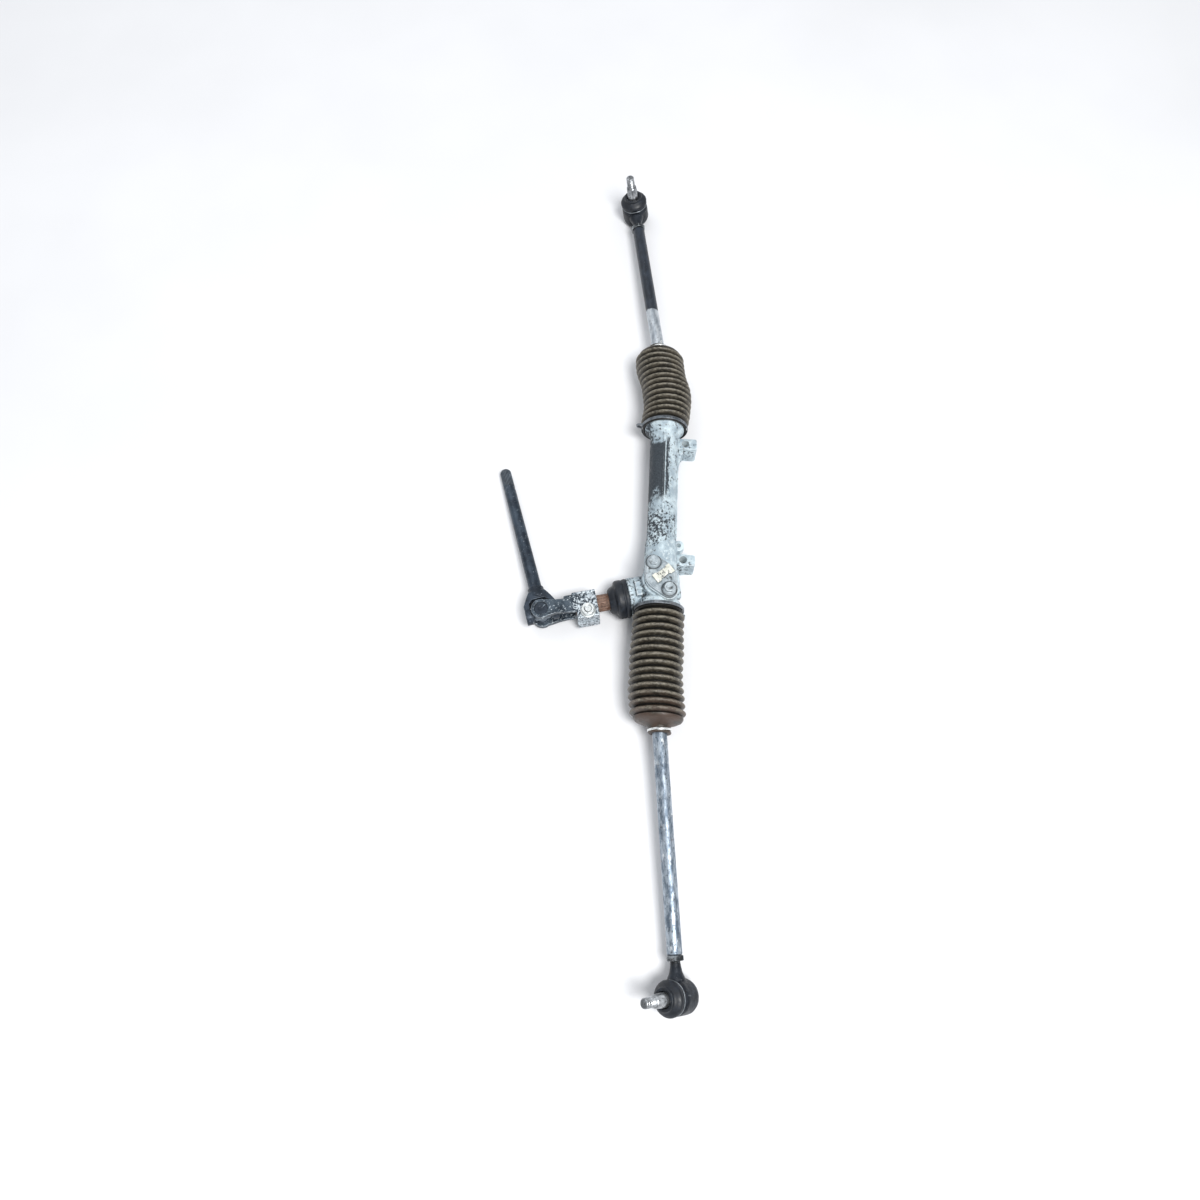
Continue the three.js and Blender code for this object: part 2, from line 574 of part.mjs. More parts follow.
function shaftYoke() {
  const fork = outline([
    [-11, EAR_INNER], [12, EAR_INNER], [16, 7], [16, -7], [12, -EAR_INNER], [-11, -EAR_INNER],
    [-11, -EAR_OUTER], [10, -EAR_OUTER], [19, -13], [25, -9], [25, 9], [19, 13], [10, EAR_OUTER],
    [-11, EAR_OUTER],
  ]);
  const sides = joined(
    bar(-30, 30, 9.5, 'y'),
    prism(outline([[-7.4, 0], [7.4, 0], [9.5, 36], [-9.5, 36]]), -30, 30, 'y'),
  );
  const collar = turned([[19, 0], [19, 9.8], [25, 9.8], [32, 8.8], [32, 0]], 'x');
  return part('shaft_yoke', cut(
    joined(common(prism(fork, -20, 20), sides), collar),
    bar(SHAFT_SEAT - GAP, 33, INTERMEDIATE_RADIUS + GAP, 'x'),
    bar(-30, 30, CUP_RADIUS + GAP, 'y'),
  ), BLACKED_STEEL);
}

function intermediateShaft() {
  const splineStart = INTERMEDIATE_LENGTH - 26;
  const body = turned([
    [SHAFT_SEAT, 0], [SHAFT_SEAT, INTERMEDIATE_RADIUS - 0.5], [SHAFT_SEAT + 0.5, INTERMEDIATE_RADIUS],
    [splineStart, INTERMEDIATE_RADIUS - 0.7], [splineStart + 1, 5.5], [INTERMEDIATE_LENGTH - 2, 5.5],
    [INTERMEDIATE_LENGTH, 4.4], [INTERMEDIATE_LENGTH, 0],
  ], 'x');
  const splines = prism(star(16, 6.5, 5.9), splineStart + 1, INTERMEDIATE_LENGTH - 2, 'x');
  return part('intermediate_shaft', joined(body, splines), BLACKED_STEEL);
}

// ---- rack and inner ball joints --------------------------------------------------------------
function toothSpace(position) {
  const reference = PINION_HEIGHT + PITCH_RADIUS + PROFILE_SHIFT * GEAR_MODULE + MESH_CLEARANCE - RACK_HEIGHT;
  const root = reference + 1.25 * GEAR_MODULE;
  const below = -RACK_RADIUS - 1;
  const half = (z) => PITCH / 4 + 0.05 - (z - reference) * Math.tan(PRESSURE_ANGLE);
  const shape = outline([
    [-half(below), below], [half(below), below], [half(root), root], [-half(root), root],
  ]);
  const space = prism(shape, -40, 40, 'x').translate(0, position, 0);
  return space.rotateZ(pinionFrame.rotation.z);
}

function rackBar() {
  const start = FAR_BALL_X + RACK_END_SETBACK;
  const end = NEAR_BALL_X - RACK_END_SETBACK;
  const shaft = turned([
    [start, 0], [start, RACK_RADIUS - 1], [start + 1, RACK_RADIUS],
    [end - 1, RACK_RADIUS], [end, RACK_RADIUS - 1], [end, 0],
  ], 'x');
  const tipAbovePinion = PITCH_RADIUS + (PROFILE_SHIFT - 1) * GEAR_MODULE + MESH_CLEARANCE;
  const tipHeight = PINION_HEIGHT + tipAbovePinion - RACK_HEIGHT;
  const land = block(TOOTHED_LENGTH, [-12, 12], [-RACK_RADIUS - 1, tipHeight]);
  const spaces = [];
  const firstSpace = Math.ceil((TOOTHED_LENGTH[0] + 4) / PITCH);
  const lastSpace = Math.floor((TOOTHED_LENGTH[1] - 4) / PITCH);
  for (let i = firstSpace; i <= lastSpace; i += 1) {
    spaces.push(toothSpace(i * PITCH));
  }
  const sockets = [bar(start - 1, start + 17, 6 + GAP, 'x'), bar(end - 17, end + 1, 6 + GAP, 'x')];
  return part('rack_bar', cut(shaft, land, ...spaces, ...sockets), BRIGHT_STEEL);
}

const SOCKET_CAVITY = INNER_BALL_RADIUS + 3.2;

function innerSocket(name) {
  const mouth = (x) => [x, x * Math.tan(THREE.MathUtils.degToRad(29)) + 6.6];
  const lip = arc(INNER_BALL_RADIUS + GAP, 60, 69, 1);
  const cavity = arc(SOCKET_CAVITY, 69, 180, 5);
  const body = turned([
    [-SOCKET_BACK - 16, 0], [-SOCKET_BACK - 16, 5.4], [-SOCKET_BACK - 15, 6], [-SOCKET_BACK, 6],
    [-SOCKET_BACK, SOCKET_RADIUS - 1.5], [1.5 - SOCKET_BACK, SOCKET_RADIUS], [6, SOCKET_RADIUS], [9.5, 14.5],
    mouth(9.5), ...lip, ...cavity.slice(0, -1), [-SOCKET_CAVITY, 0],
  ], 'x');
  const flats = [-1, 1].map((side) => {
    const [near, far] = [side * (SOCKET_RADIUS - 1.2), side * (SOCKET_RADIUS + 2)];
    return block([-SOCKET_BACK - 1, -10], [Math.min(near, far), Math.max(near, far)], [-20, 20]);
  });
  return part(name, cut(body, ...flats), DULL_STEEL);
}

function lockWasher(name) {
  const start = -SOCKET_BACK - GAP - WASHER_THICKNESS;
  return part(name, ring(start, start + WASHER_THICKNESS, 6 + GAP, 15.2, 'x'), DULL_STEEL);
}

// Half shell behind a ball, open towards +X (inner joints) or +Z (outer joints).
function ballSeat(name, ballRadius, thickness, axis) {
  const outer = arc(ballRadius + 0.5 + thickness, 180, 91, 4);
  const inner = arc(ballRadius + 0.5, 91, 180, 4);
  return part(name, turned([...outer, ...inner].map(onAxis), axis, 16), POLYMER);
}

// ---- tie rods and outer ball joints ----------------------------------------------------------
const THREAD_LENGTH = 18; // of the rod end inside the tie rod
const onAxis = ([along, radius]) => [along, Math.abs(radius) < 1e-6 ? 0 : radius];

function tieRod(name) {
  const shank = turned([
    ...arc(INNER_BALL_RADIUS, 180, 31, 7).map(onAxis), [20, 5.5], [27, ROD_RADIUS],
    [ROD_END_FACE - 1, ROD_RADIUS], [ROD_END_FACE, ROD_RADIUS - 0.8], [ROD_END_FACE, 0],
  ], 'x');
  const threadedHole = bar(ROD_END_FACE - THREAD_LENGTH - 1, ROD_END_FACE + 1, THREAD_RADIUS + GAP, 'x');
  return part(name, cut(shank, threadedHole), DULL_STEEL);
}

function lockNut(name) {
  const start = ROD_END_FACE + GAP;
  const thread = bar(start - 1, start + 6, THREAD_RADIUS + GAP, 'x');
  return part(name, cut(prism(hexagon(16), start, start + 5, 'x'), thread), DULL_STEEL);
}

function rodEnd(name) {
  const cavity = OUTER_BALL_RADIUS + 3.2;
  const upper = arc(cavity, 68, 90, 2);
  const cup = turned([
    [-15, cavity], [-15, 14.2], [-11, CUP_OUTER_RADIUS], [5, CUP_OUTER_RADIUS], [9, 14.6], [9, 10.5],
    ...arc(OUTER_BALL_RADIUS + GAP, 59.6, 68, 1), ...upper, [-15, cavity],
  ], 'z');
  const shankEnd = ROD_END_FACE - THREAD_LENGTH - ROD_LENGTH;
  const shank = turned([
    [shankEnd, 0], [shankEnd, THREAD_RADIUS - 0.7], [shankEnd + 1, THREAD_RADIUS], [-30, THREAD_RADIUS],
    [-23, 5.8], [-16, 9], [-10, 9.5], [-10, 0],
  ], 'x');
  const ballRoom = bar(-17, 17, cavity + 0.5, 'z');
  return part(name, joined(cup, cut(shank, ballRoom)), BLACKED_STEEL);
}

function rodEndCap(name) {
  const cap = turned([[-14.7, 0], [-14.7, 11.5], [-13.8, 12.5], [-12.8, 12.5], [-12.8, 0]], 'z');
  return part(name, cap, DULL_STEEL);
}

function ballStud(name) {
  const stud = turned([
    ...arc(OUTER_BALL_RADIUS, 180, 36, 7).map(onAxis), [13, STUD_NECK_RADIUS], [17.5, 7.3],
    [38, 6], [38.5, 5.4], [52, 5.4], [53, 4.6], [53, 0],
  ], 'z');
  const cotterHole = bar(-10, 10, 1.6, 'y').translate(0, 0, 48.5);
  return part(name, cut(stud, cotterHole), BRIGHT_STEEL);
}

function dustBoot(name) {
  const shell = turned([
    [9.4, 13], [9.4, 15.2], [11.8, 15.2], [13.2, 16.7], [17, 15.8], [20.6, 11.8], [23.5, 10],
    [23.5, 8], [20, 8.6], [16.8, 12.8], [12, 13.4], [9.4, 13],
  ], 'z');
  return part(name, shell, RUBBER);
}

function dustBootRing(name) {
  return part(name, ring(9.9, 11.4, 15.5, 16.6, 'z'), DULL_STEEL);
}

// ---- bellows ---------------------------------------------------------------------------------
// Along +X from the clamp on the housing; the small end grips the tie rod. After the inner ball
// the sleeve leans with the rod.
function bellows(name, size, ballOffset, lean, droop) {
  const cuff = BELL_RADIUS + 0.8;
  const ringsStart = BELL_DEPTH + 1;
  const pitch = (size.length - 15 - ringsStart) / size.rings;
  const folds = [];
  for (let i = 0; i < size.rings; i += 1) {
    const crest = size.firstCrest + ((size.lastCrest - size.firstCrest) * i) / (size.rings - 1);
    const x = ringsStart + i * pitch;
    folds.push([x, crest - 4.5], [x + pitch / 2, crest]);
  }
  const end = size.length;
  const shell = turned([
    [CUFF_START, cuff], [CUFF_START, cuff + 2.2], [ringsStart - 1, cuff + 2.2], ...folds,
    [end - 15, size.lastCrest - 4.5], [end - 13, size.lastCrest - 3], [end - 8, 12], [end, 10],
    [end, ROD_RADIUS + 0.4], [end - 8, ROD_RADIUS + 0.6], [end - 15, 20.5], [ballOffset, 20.5],
    [ringsStart, 20.5], [ringsStart - 1, cuff], [CUFF_START, cuff],
  ], 'x', 16);
  const points = shell.attributes.position;
  for (let i = 0; i < points.count; i += 1) {
    const past = Math.max(0, points.getX(i) - ballOffset);
    points.setY(i, points.getY(i) + past * Math.tan(lean));
    points.setZ(i, points.getZ(i) - past * Math.tan(droop));
  }
  return part(name, shell, DUSTY_RUBBER);
}

function bootClamp(name, earAngle) {
  const band = ring(1.7, 5.5, 26.5, 27.5, 'x');
  const ear = block([1.7, 5.5], [-2.5, 2.5], [27, 34]).rotateX(earAngle);
  return part(name, joined(band, ear), DULL_STEEL);
}

function bootClip(name, distance) {
  const wire = ring(distance - 5, distance - 2.6, 12.2, 14, 'x');
  const twist = block([distance - 5, distance - 2.6], [-1.2, 1.2], [13, 19]);
  return part(name, joined(wire, twist), BRIGHT_STEEL);
}

// ---- assembly --------------------------------------------------------------------------------
function addHousing() {
  gear.add(rackHousing(), guideSpring(), guideCover(), coverLabel(), rackGuide());
  coverScrews.forEach((x, i) => gear.add(coverBolt(i + 1, x)));
  rackFrame.add(rackBush());
  const { bore, outer } = BEARING;
  pinionFrame.add(bearingRing('pinion_bearing_outer_ring', outer - 1.15, outer), ...pinionSupports());
  pinionFrame.add(bearingRing('pinion_bearing_inner_ring', bore, bore + 1.15));
}

function addPinion() {
  pinionFrame.add(pinionShaft(), bearingBalls(), clampYoke(), ...pinchBolt());
  const crossFrame = framed(pinionFrame, JOINT_CENTRE, 0, 0);
  crossFrame.name = 'joint_cross_frame';
  crossFrame.add(bearingCup('bearing_cup_upper', 'z', 1), bearingCup('bearing_cup_lower', 'z', -1));
  const fold = framed(crossFrame, 0, 0, 0);
  fold.rotation.z = JOINT_FOLD;
  fold.add(cross());
  const shaft = framed(fold, 0, 0, 0);
  shaft.name = 'intermediate_frame';
  shaft.rotation.y = SHAFT_DROOP;
  shaft.add(shaftYoke(), intermediateShaft());
  shaft.add(bearingCup('bearing_cup_outer', 'y', 1), bearingCup('bearing_cup_inner', 'y', -1));
}

function addTieRod(side, rod) {
  const socketFrame = framed(rackFrame, rod.x, 0, 0);
  socketFrame.rotation.z = side === 'near' ? 0 : Math.PI;
  socketFrame.add(innerSocket(`${side}_inner_socket`), lockWasher(`${side}_lock_washer`));

  const swing = framed(rackFrame, rod.x, 0, 0);
  swing.rotation.z = THREE.MathUtils.degToRad(rod.heading);
  swing.name = `${side}_swing_frame`;
  swing.add(ballSeat(`${side}_inner_ball_seat`, INNER_BALL_RADIUS, 2, 'x'));

  const lift = framed(swing, 0, 0, 0);
  lift.rotation.y = Math.asin((RACK_HEIGHT - rod.outerHeight) / ROD_LENGTH);
  lift.name = `${side}_lift_frame`;
  lift.add(tieRod(`${side}_tie_rod`), lockNut(`${side}_lock_nut`));

  const joint = framed(lift, ROD_LENGTH, 0, 0);
  joint.rotation.x = THREE.MathUtils.degToRad(rod.roll);
  joint.name = `${side}_stud_frame`;
  joint.add(rodEnd(`${side}_rod_end`), rodEndCap(`${side}_rod_end_cap`));
  joint.add(dustBoot(`${side}_dust_boot`), dustBootRing(`${side}_dust_boot_ring`));
  joint.add(ballSeat(`${side}_outer_ball_seat`, OUTER_BALL_RADIUS, 2, 'z'), ballStud(`${side}_ball_stud`));
  return lift;
}

function addBellows(side, rod, size, stop, lift) {
  const outward = side === 'near' ? 1 : -1;
  const start = framed(rackFrame, stop, 0, 0);
  start.rotation.z = outward > 0 ? 0 : Math.PI;
  const ballOffset = Math.abs(rod.x - stop);
  const heading = THREE.MathUtils.degToRad(rod.heading) - start.rotation.z;
  start.add(bellows(`${side}_bellows`, size, ballOffset, heading, lift.rotation.y));
  start.add(bootClamp(`${side}_boot_clamp`, THREE.MathUtils.degToRad(outward > 0 ? -120 : -80)));
  lift.add(bootClip(`${side}_boot_clip`, (size.length - ballOffset) / Math.cos(heading)));
}

function addRack() {
  rackFrame.add(rackBar());
  const nearLift = addTieRod('near', NEAR_ROD);
  const farLift = addTieRod('far', FAR_ROD);
  addBellows('near', NEAR_ROD, NEAR_BELLOWS, NEAR_STOP_X, nearLift);
  addBellows('far', FAR_ROD, FAR_BELLOWS, FAR_STOP_X, farLift);
}

addHousing();
addPinion();
addRack();

// The origin goes to the middle of the footprint, on the surface that the gear lies on.
steeringGear.updateMatrixWorld(true);
const extent = new THREE.Box3().setFromObject(steeringGear, true);
gear.position.set(-(extent.min.x + extent.max.x) / 2, -(extent.min.y + extent.max.y) / 2, -extent.min.z);
steeringGear.updateMatrixWorld(true);

export default steeringGear;
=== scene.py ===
"""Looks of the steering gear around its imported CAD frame: meshes, materials, floor, light, camera.

Blender works in metres. Pieces are shaped in millimetres in a local frame taken from the record's
joints, and `placed` carries them to the row frame.
"""

import json
import math

import bmesh
import bpy
import numpy as np
from mathutils import Matrix, Vector, noise


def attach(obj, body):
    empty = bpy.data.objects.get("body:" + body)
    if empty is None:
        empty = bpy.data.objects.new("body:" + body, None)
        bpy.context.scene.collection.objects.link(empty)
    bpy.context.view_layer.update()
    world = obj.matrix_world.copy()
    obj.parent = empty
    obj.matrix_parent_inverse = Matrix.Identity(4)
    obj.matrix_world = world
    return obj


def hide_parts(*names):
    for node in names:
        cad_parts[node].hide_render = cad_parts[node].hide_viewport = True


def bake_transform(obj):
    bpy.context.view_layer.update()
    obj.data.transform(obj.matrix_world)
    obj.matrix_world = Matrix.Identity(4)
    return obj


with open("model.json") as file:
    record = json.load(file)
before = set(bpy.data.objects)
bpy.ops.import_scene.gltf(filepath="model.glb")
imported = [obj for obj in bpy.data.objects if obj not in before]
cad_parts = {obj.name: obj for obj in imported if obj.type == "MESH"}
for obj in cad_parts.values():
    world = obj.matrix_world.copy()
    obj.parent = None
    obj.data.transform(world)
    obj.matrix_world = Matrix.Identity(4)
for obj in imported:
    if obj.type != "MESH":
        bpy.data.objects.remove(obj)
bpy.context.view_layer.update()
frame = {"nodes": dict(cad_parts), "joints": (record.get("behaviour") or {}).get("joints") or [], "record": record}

MM = 0.001
SIDES = ("near", "far")


# ---- frames taken from the record --------------------------------------------------------------
JOINTS = {joint["name"]: joint for joint in frame["joints"]}
MOUNTS = {mount["name"]: mount for mount in frame["record"]["mounts"]}


def local_frame(origin, x, z):
    """Axes at origin with +X along x and +Z as near to z as it can be."""
    x = Vector(x).normalized()
    y = Vector(z).cross(x).normalized()
    matrix = Matrix((x, y, x.cross(y))).transposed().to_4x4()
    matrix.translation = Vector(origin)
    return matrix


def joint_position(name):
    return Vector(JOINTS[name]["pos_m"])


def joint_axis(name):
    return Vector(JOINTS[name]["axis"])


UP = Vector((0, 0, 1))
PINION_ORIGIN = joint_position("pinion_spin")
RACK_ORIGIN = Vector((PINION_ORIGIN.x, PINION_ORIGIN.y, joint_position("near_rod_swing").z))
FLOOR_ORIGIN = Vector((PINION_ORIGIN.x, PINION_ORIGIN.y, 0))
RACK = local_frame(RACK_ORIGIN, (1, 0, 0), UP)
GROUND = local_frame(FLOOR_ORIGIN, (1, 0, 0), UP)
PINION = local_frame(PINION_ORIGIN, joint_axis("pinion_spin"), UP)
YOKE_PIN = local_frame(joint_position("joint_fold"), joint_axis("pinion_spin"), UP)
SHAFT_AXIS = Vector(MOUNTS["column_spline_end"]["pos_m"]) - joint_position("joint_fold")
SHAFT = local_frame(joint_position("joint_tip"), SHAFT_AXIS, SHAFT_AXIS.cross(joint_axis("joint_tip")))


def socket_frame(side):
    outward = (1, 0, 0) if side == "near" else (-1, 0, 0)
    return local_frame(joint_position(f"{side}_rod_swing"), outward, UP)


def rod_frame(side):
    ball = joint_position(f"{side}_rod_swing")
    along = joint_position(f"{side}_stud_tilt") - ball
    return local_frame(ball, along, along.cross(joint_axis(f"{side}_rod_lift")))


def stud_frame(side):
    stud = joint_axis(f"{side}_stud_spin")
    across = joint_axis(f"{side}_stud_tilt")
    return local_frame(joint_position(f"{side}_stud_tilt"), across.cross(stud), stud)


ROD_LENGTH = (joint_position("near_stud_tilt") - joint_position("near_rod_swing")).length / MM
ROD_FACE = 260  # inner ball to the end of the tie rod
PINCH = (81.6, 10.8)  # along and across the pinion's axis
AXIS_TO_Z = Matrix(((0, 0, -1, 0), (0, 1, 0, 0), (1, 0, 0, 0), (0, 0, 0, 1)))  # local +X becomes +Z


# ---- mesh helpers ------------------------------------------------------------------------------
def placed(points, place):
    """Millimetre points in a local frame, as metres in the row frame."""
    matrix = np.array(place)
    return (np.asarray(points, float) * MM) @ matrix[:3, :3].T + matrix[:3, 3]


def make_object(name, points, faces, sharp=38):
    mesh = bpy.data.meshes.new(name)
    mesh.from_pydata([tuple(p) for p in points], [], [tuple(f) for f in faces])
    work = bmesh.new()
    work.from_mesh(mesh)
    bmesh.ops.recalc_face_normals(work, faces=work.faces)
    work.to_mesh(mesh)
    work.free()
    mesh.shade_smooth()
    mesh.set_sharp_from_angle(angle=math.radians(sharp))
    obj = bpy.data.objects.new(name, mesh)
    bpy.context.scene.collection.objects.link(obj)
    return obj


def filleted(profile, size, closed):
    """Rounds every corner of a profile with a short three-point curve."""
    count = len(profile)
    points = [np.array(p, float) for p in profile]
    result = []
    for i, corner in enumerate(points):
        if not closed and i in (0, count - 1):
            result.append(corner)
            continue
        before, after = points[i - 1], points[(i + 1) % count]
        reach = min(size, 0.45 * np.linalg.norm(before - corner), 0.45 * np.linalg.norm(after - corner))
        if reach < 0.02:
            result.append(corner)
            continue
        start = corner + (before - corner) / np.linalg.norm(before - corner) * reach
        end = corner + (after - corner) / np.linalg.norm(after - corner) * reach
        for t in (0, 0.33, 0.67, 1):
            result.append((1 - t) ** 2 * start + 2 * t * (1 - t) * corner + t * t * end)
    return result


def refined(rows, start, end, step):
    """Adds rows between start and end along the axis, a step apart, for threads and splines."""
    result = [rows[0]]
    for a, b in zip(rows, rows[1:]):
        inside = min(a[0], b[0]) >= start - 1e-6 and max(a[0], b[0]) <= end + 1e-6
        pieces = max(1, int(abs(b[0] - a[0]) / step)) if inside else 1
        result += [a + (b - a) * k / pieces for k in range(1, pieces + 1)]
    return result


def turned_arrays(profile, segments=96, fillet=0.35, shape=None, refine=None):
    """Points and faces of a body turned about local X from (along, radius) pairs."""
    closed = profile[0][1] > 0
    rows = filleted(profile, fillet, closed)
    if refine:
        rows = refined(rows, *refine)
    angles = np.arange(segments) * 2 * math.pi / segments
    points, starts = [], []
    for along, radius in rows:
        starts.append(len(points))
        if radius < 1e-6:
            points.append((along, 0, 0))
            continue
        radii = np.full(segments, radius)
        if shape:
            radii = shape(along, radii, angles)
        points += [(along, r * math.cos(a), r * math.sin(a)) for r, a in zip(radii, angles)]
    faces = []
    pairs = list(zip(range(len(rows)), range(1, len(rows))))
    if closed:
        pairs.append((len(rows) - 1, 0))
    for i, j in pairs:
        a, b = starts[i], starts[j]
        a_is_pole, b_is_pole = rows[i][1] < 1e-6, rows[j][1] < 1e-6
        for k in range(segments):
            n = (k + 1) % segments
            if a_is_pole and b_is_pole:
                continue
            if a_is_pole:
                faces.append((a, b + k, b + n))
            elif b_is_pole:
                faces.append((a + k, b, a + n))
            else:
                faces.append((a + k, b + k, b + n, a + n))
    return np.array(points), faces


def turned(name, place, profile, **options):
    points, faces = turned_arrays(profile, **options)
    return make_object(name, placed(points, place), faces)


def block_arrays(x, y, z):
    points = [(a, b, c) for a in x for b in y for c in z]
    faces = [(0, 1, 3, 2), (4, 6, 7, 5), (0, 4, 5, 1), (2, 3, 7, 6), (0, 2, 6, 4), (1, 5, 7, 3)]
    return np.array(points, float), faces


def prism_arrays(outline, start, end, axis="z"):
    """An outline in the plane across axis, pushed from start to end along it."""
    count = len(outline)
    points = [(u, v, h) for h in (start, end) for u, v in outline]
    order = {"z": (0, 1, 2), "x": (2, 0, 1), "y": (1, 2, 0)}[axis]
    points = np.array(points, float)[:, order]
    faces = [tuple(range(count)), tuple(range(2 * count - 1, count - 1, -1))]
    faces += [(i, (i + 1) % count, (i + 1) % count + count, i + count) for i in range(count)]
    return points, faces


def moved(arrays, offset=(0, 0, 0), turn=None):
    points, faces = arrays
    if turn is not None:
        points = points @ np.array(turn.to_3x3()).T
    return points + np.array(offset, float), faces


def circle(radius, steps=48, start=0.0, sweep=360.0, centre=(0, 0)):
    angles = [math.radians(start + sweep * i / steps) for i in range(steps + (sweep < 360))]
    return [(centre[0] + radius * math.cos(a), centre[1] + radius * math.sin(a)) for a in angles]


def lozenge(middle, end, span):
    """Outline of three circles in a row wrapped by their tangents."""
    lean = math.degrees(math.acos((middle - end) / (span / 2)))
    parts = [
        circle(end, 14, -lean, 2 * lean, (span / 2, 0)),
        circle(middle, 10, lean, 180 - 2 * lean),
        circle(end, 14, 180 - lean, 2 * lean, (-span / 2, 0)),
        circle(middle, 10, 180 + lean, 180 - 2 * lean),
    ]
    return [point for part in parts for point in part]


def together(*arrays):
    points, faces, offset = [], [], 0
    for part_points, part_faces in arrays:
        points.append(part_points)
        faces += [tuple(i + offset for i in face) for face in part_faces]
        offset += len(part_points)
    return np.concatenate(points), faces


def applied(obj):
    """Turns an object's modifiers into its own mesh."""
    graph = bpy.context.evaluated_depsgraph_get()
    mesh = bpy.data.meshes.new_from_object(obj.evaluated_get(graph))
    obj.modifiers.clear()
    old = obj.data
    obj.data = mesh
    bpy.data.meshes.remove(old)
    mesh.shade_smooth()
    return obj


def cut_by(obj, cutters, place):
    """Takes machined holes and faces out of an object."""
    points, faces = cutters
    tool = make_object(f"{obj.name}_tool", placed(points, place), faces)
    boolean = obj.modifiers.new("cut", "BOOLEAN")
    boolean.operation = "DIFFERENCE"
    boolean.solver = "MANIFOLD"
    boolean.object = tool
    applied(obj)
    bpy.data.objects.remove(tool)
    obj.data.set_sharp_from_angle(angle=math.radians(38))
    return obj


def fused(name, place, arrays, voxel, rounds=6, waviness=0.0, wave_size=8.0):
    """Overlapping bodies melted into one casting or forging with soft inside corners."""
    points, faces = together(*arrays)
    obj = make_object(name, placed(points, place), faces)
    remesh = obj.modifiers.new("melt", "REMESH")
    remesh.mode = "VOXEL"
    remesh.voxel_size = voxel * MM
    smooth = obj.modifiers.new("soften", "SMOOTH")
    smooth.factor = 0.5
    smooth.iterations = rounds
    applied(obj)
    if waviness:
        mesh = obj.data
        count = len(mesh.vertices)
        spots, normals = np.empty(count * 3, np.float32), np.empty(count * 3, np.float32)
        mesh.vertices.foreach_get("co", spots)
        mesh.vertex_normals.foreach_get("vector", normals)
        spots, normals = spots.reshape(-1, 3), normals.reshape(-1, 3)
        scale = 1 / (wave_size * MM)
        waves = np.array([noise.fractal(Vector(p * scale), 0.7, 2.2, 3) for p in spots])
        mesh.vertices.foreach_set("co", (spots + normals * (waves * waviness * MM)[:, None]).ravel())
        mesh.update()
    return obj


def tube(name, place, route, radius, sides=12):
    """A round wire along a list of millimetre points, with domed ends."""
    route = [Vector(p) for p in route]
    points, faces = [], []
    side = None
    for i, spot in enumerate(route):
        ahead = (route[min(i + 1, len(route) - 1)] - route[max(i - 1, 0)]).normalized()
        if side is None:
            side = ahead.orthogonal().normalized()
        side = (side - ahead * side.dot(ahead)).normalized()
        other = ahead.cross(side)
        size = radius * (0.55 if i in (0, len(route) - 1) else 1)
        for k in range(sides):
            angle = 2 * math.pi * k / sides
            points.append(spot + side * (size * math.cos(angle)) + other * (size * math.sin(angle)))
    for i in range(len(route) - 1):
        for k in range(sides):
            n = (k + 1) % sides
            faces.append((i * sides + k, i * sides + n, (i + 1) * sides + n, (i + 1) * sides + k))
    faces.append(tuple(range(sides)))
    faces.append(tuple(len(points) - 1 - k for k in range(sides)))
    return make_object(name, placed(np.array([tuple(p) for p in points]), place), faces)


def hexagonal(across_flats, start, end):
    """Shape function: a hexagon between start and end along the axis, round elsewhere."""
    def shape(along, radii, angles):
        if not start - 0.01 <= along <= end + 0.01:
            return radii
        turn = (angles + math.pi / 6) % (math.pi / 3) - math.pi / 6
        return np.minimum(radii, across_flats / 2 / np.cos(turn))
    return shape


def splined(teeth, depth, start, end, floor):
    """Shape function: straight splines cut depth deep, but not into radii under floor."""
    def shape(along, radii, angles):
        if not start <= along <= end or radii[0] < floor:
            return radii
        wave = np.clip(1.6 * np.cos(teeth * angles), -1, 1)
        return radii - depth * (0.5 - 0.5 * wave)
    return shape


def threaded(pitch, depth, start, end, floor):
    """Shape function: a screw thread cut depth deep that fades in and out at its ends."""
    def shape(along, radii, angles):
        if not start <= along <= end or radii[0] < floor:
            return radii
        fade = min(1.0, (along - start) / pitch, (end - along) / pitch)
        phase = (along / pitch - angles / (2 * math.pi)) % 1
        return radii - depth * fade * (1 - np.abs(2 * phase - 1))
    return shape


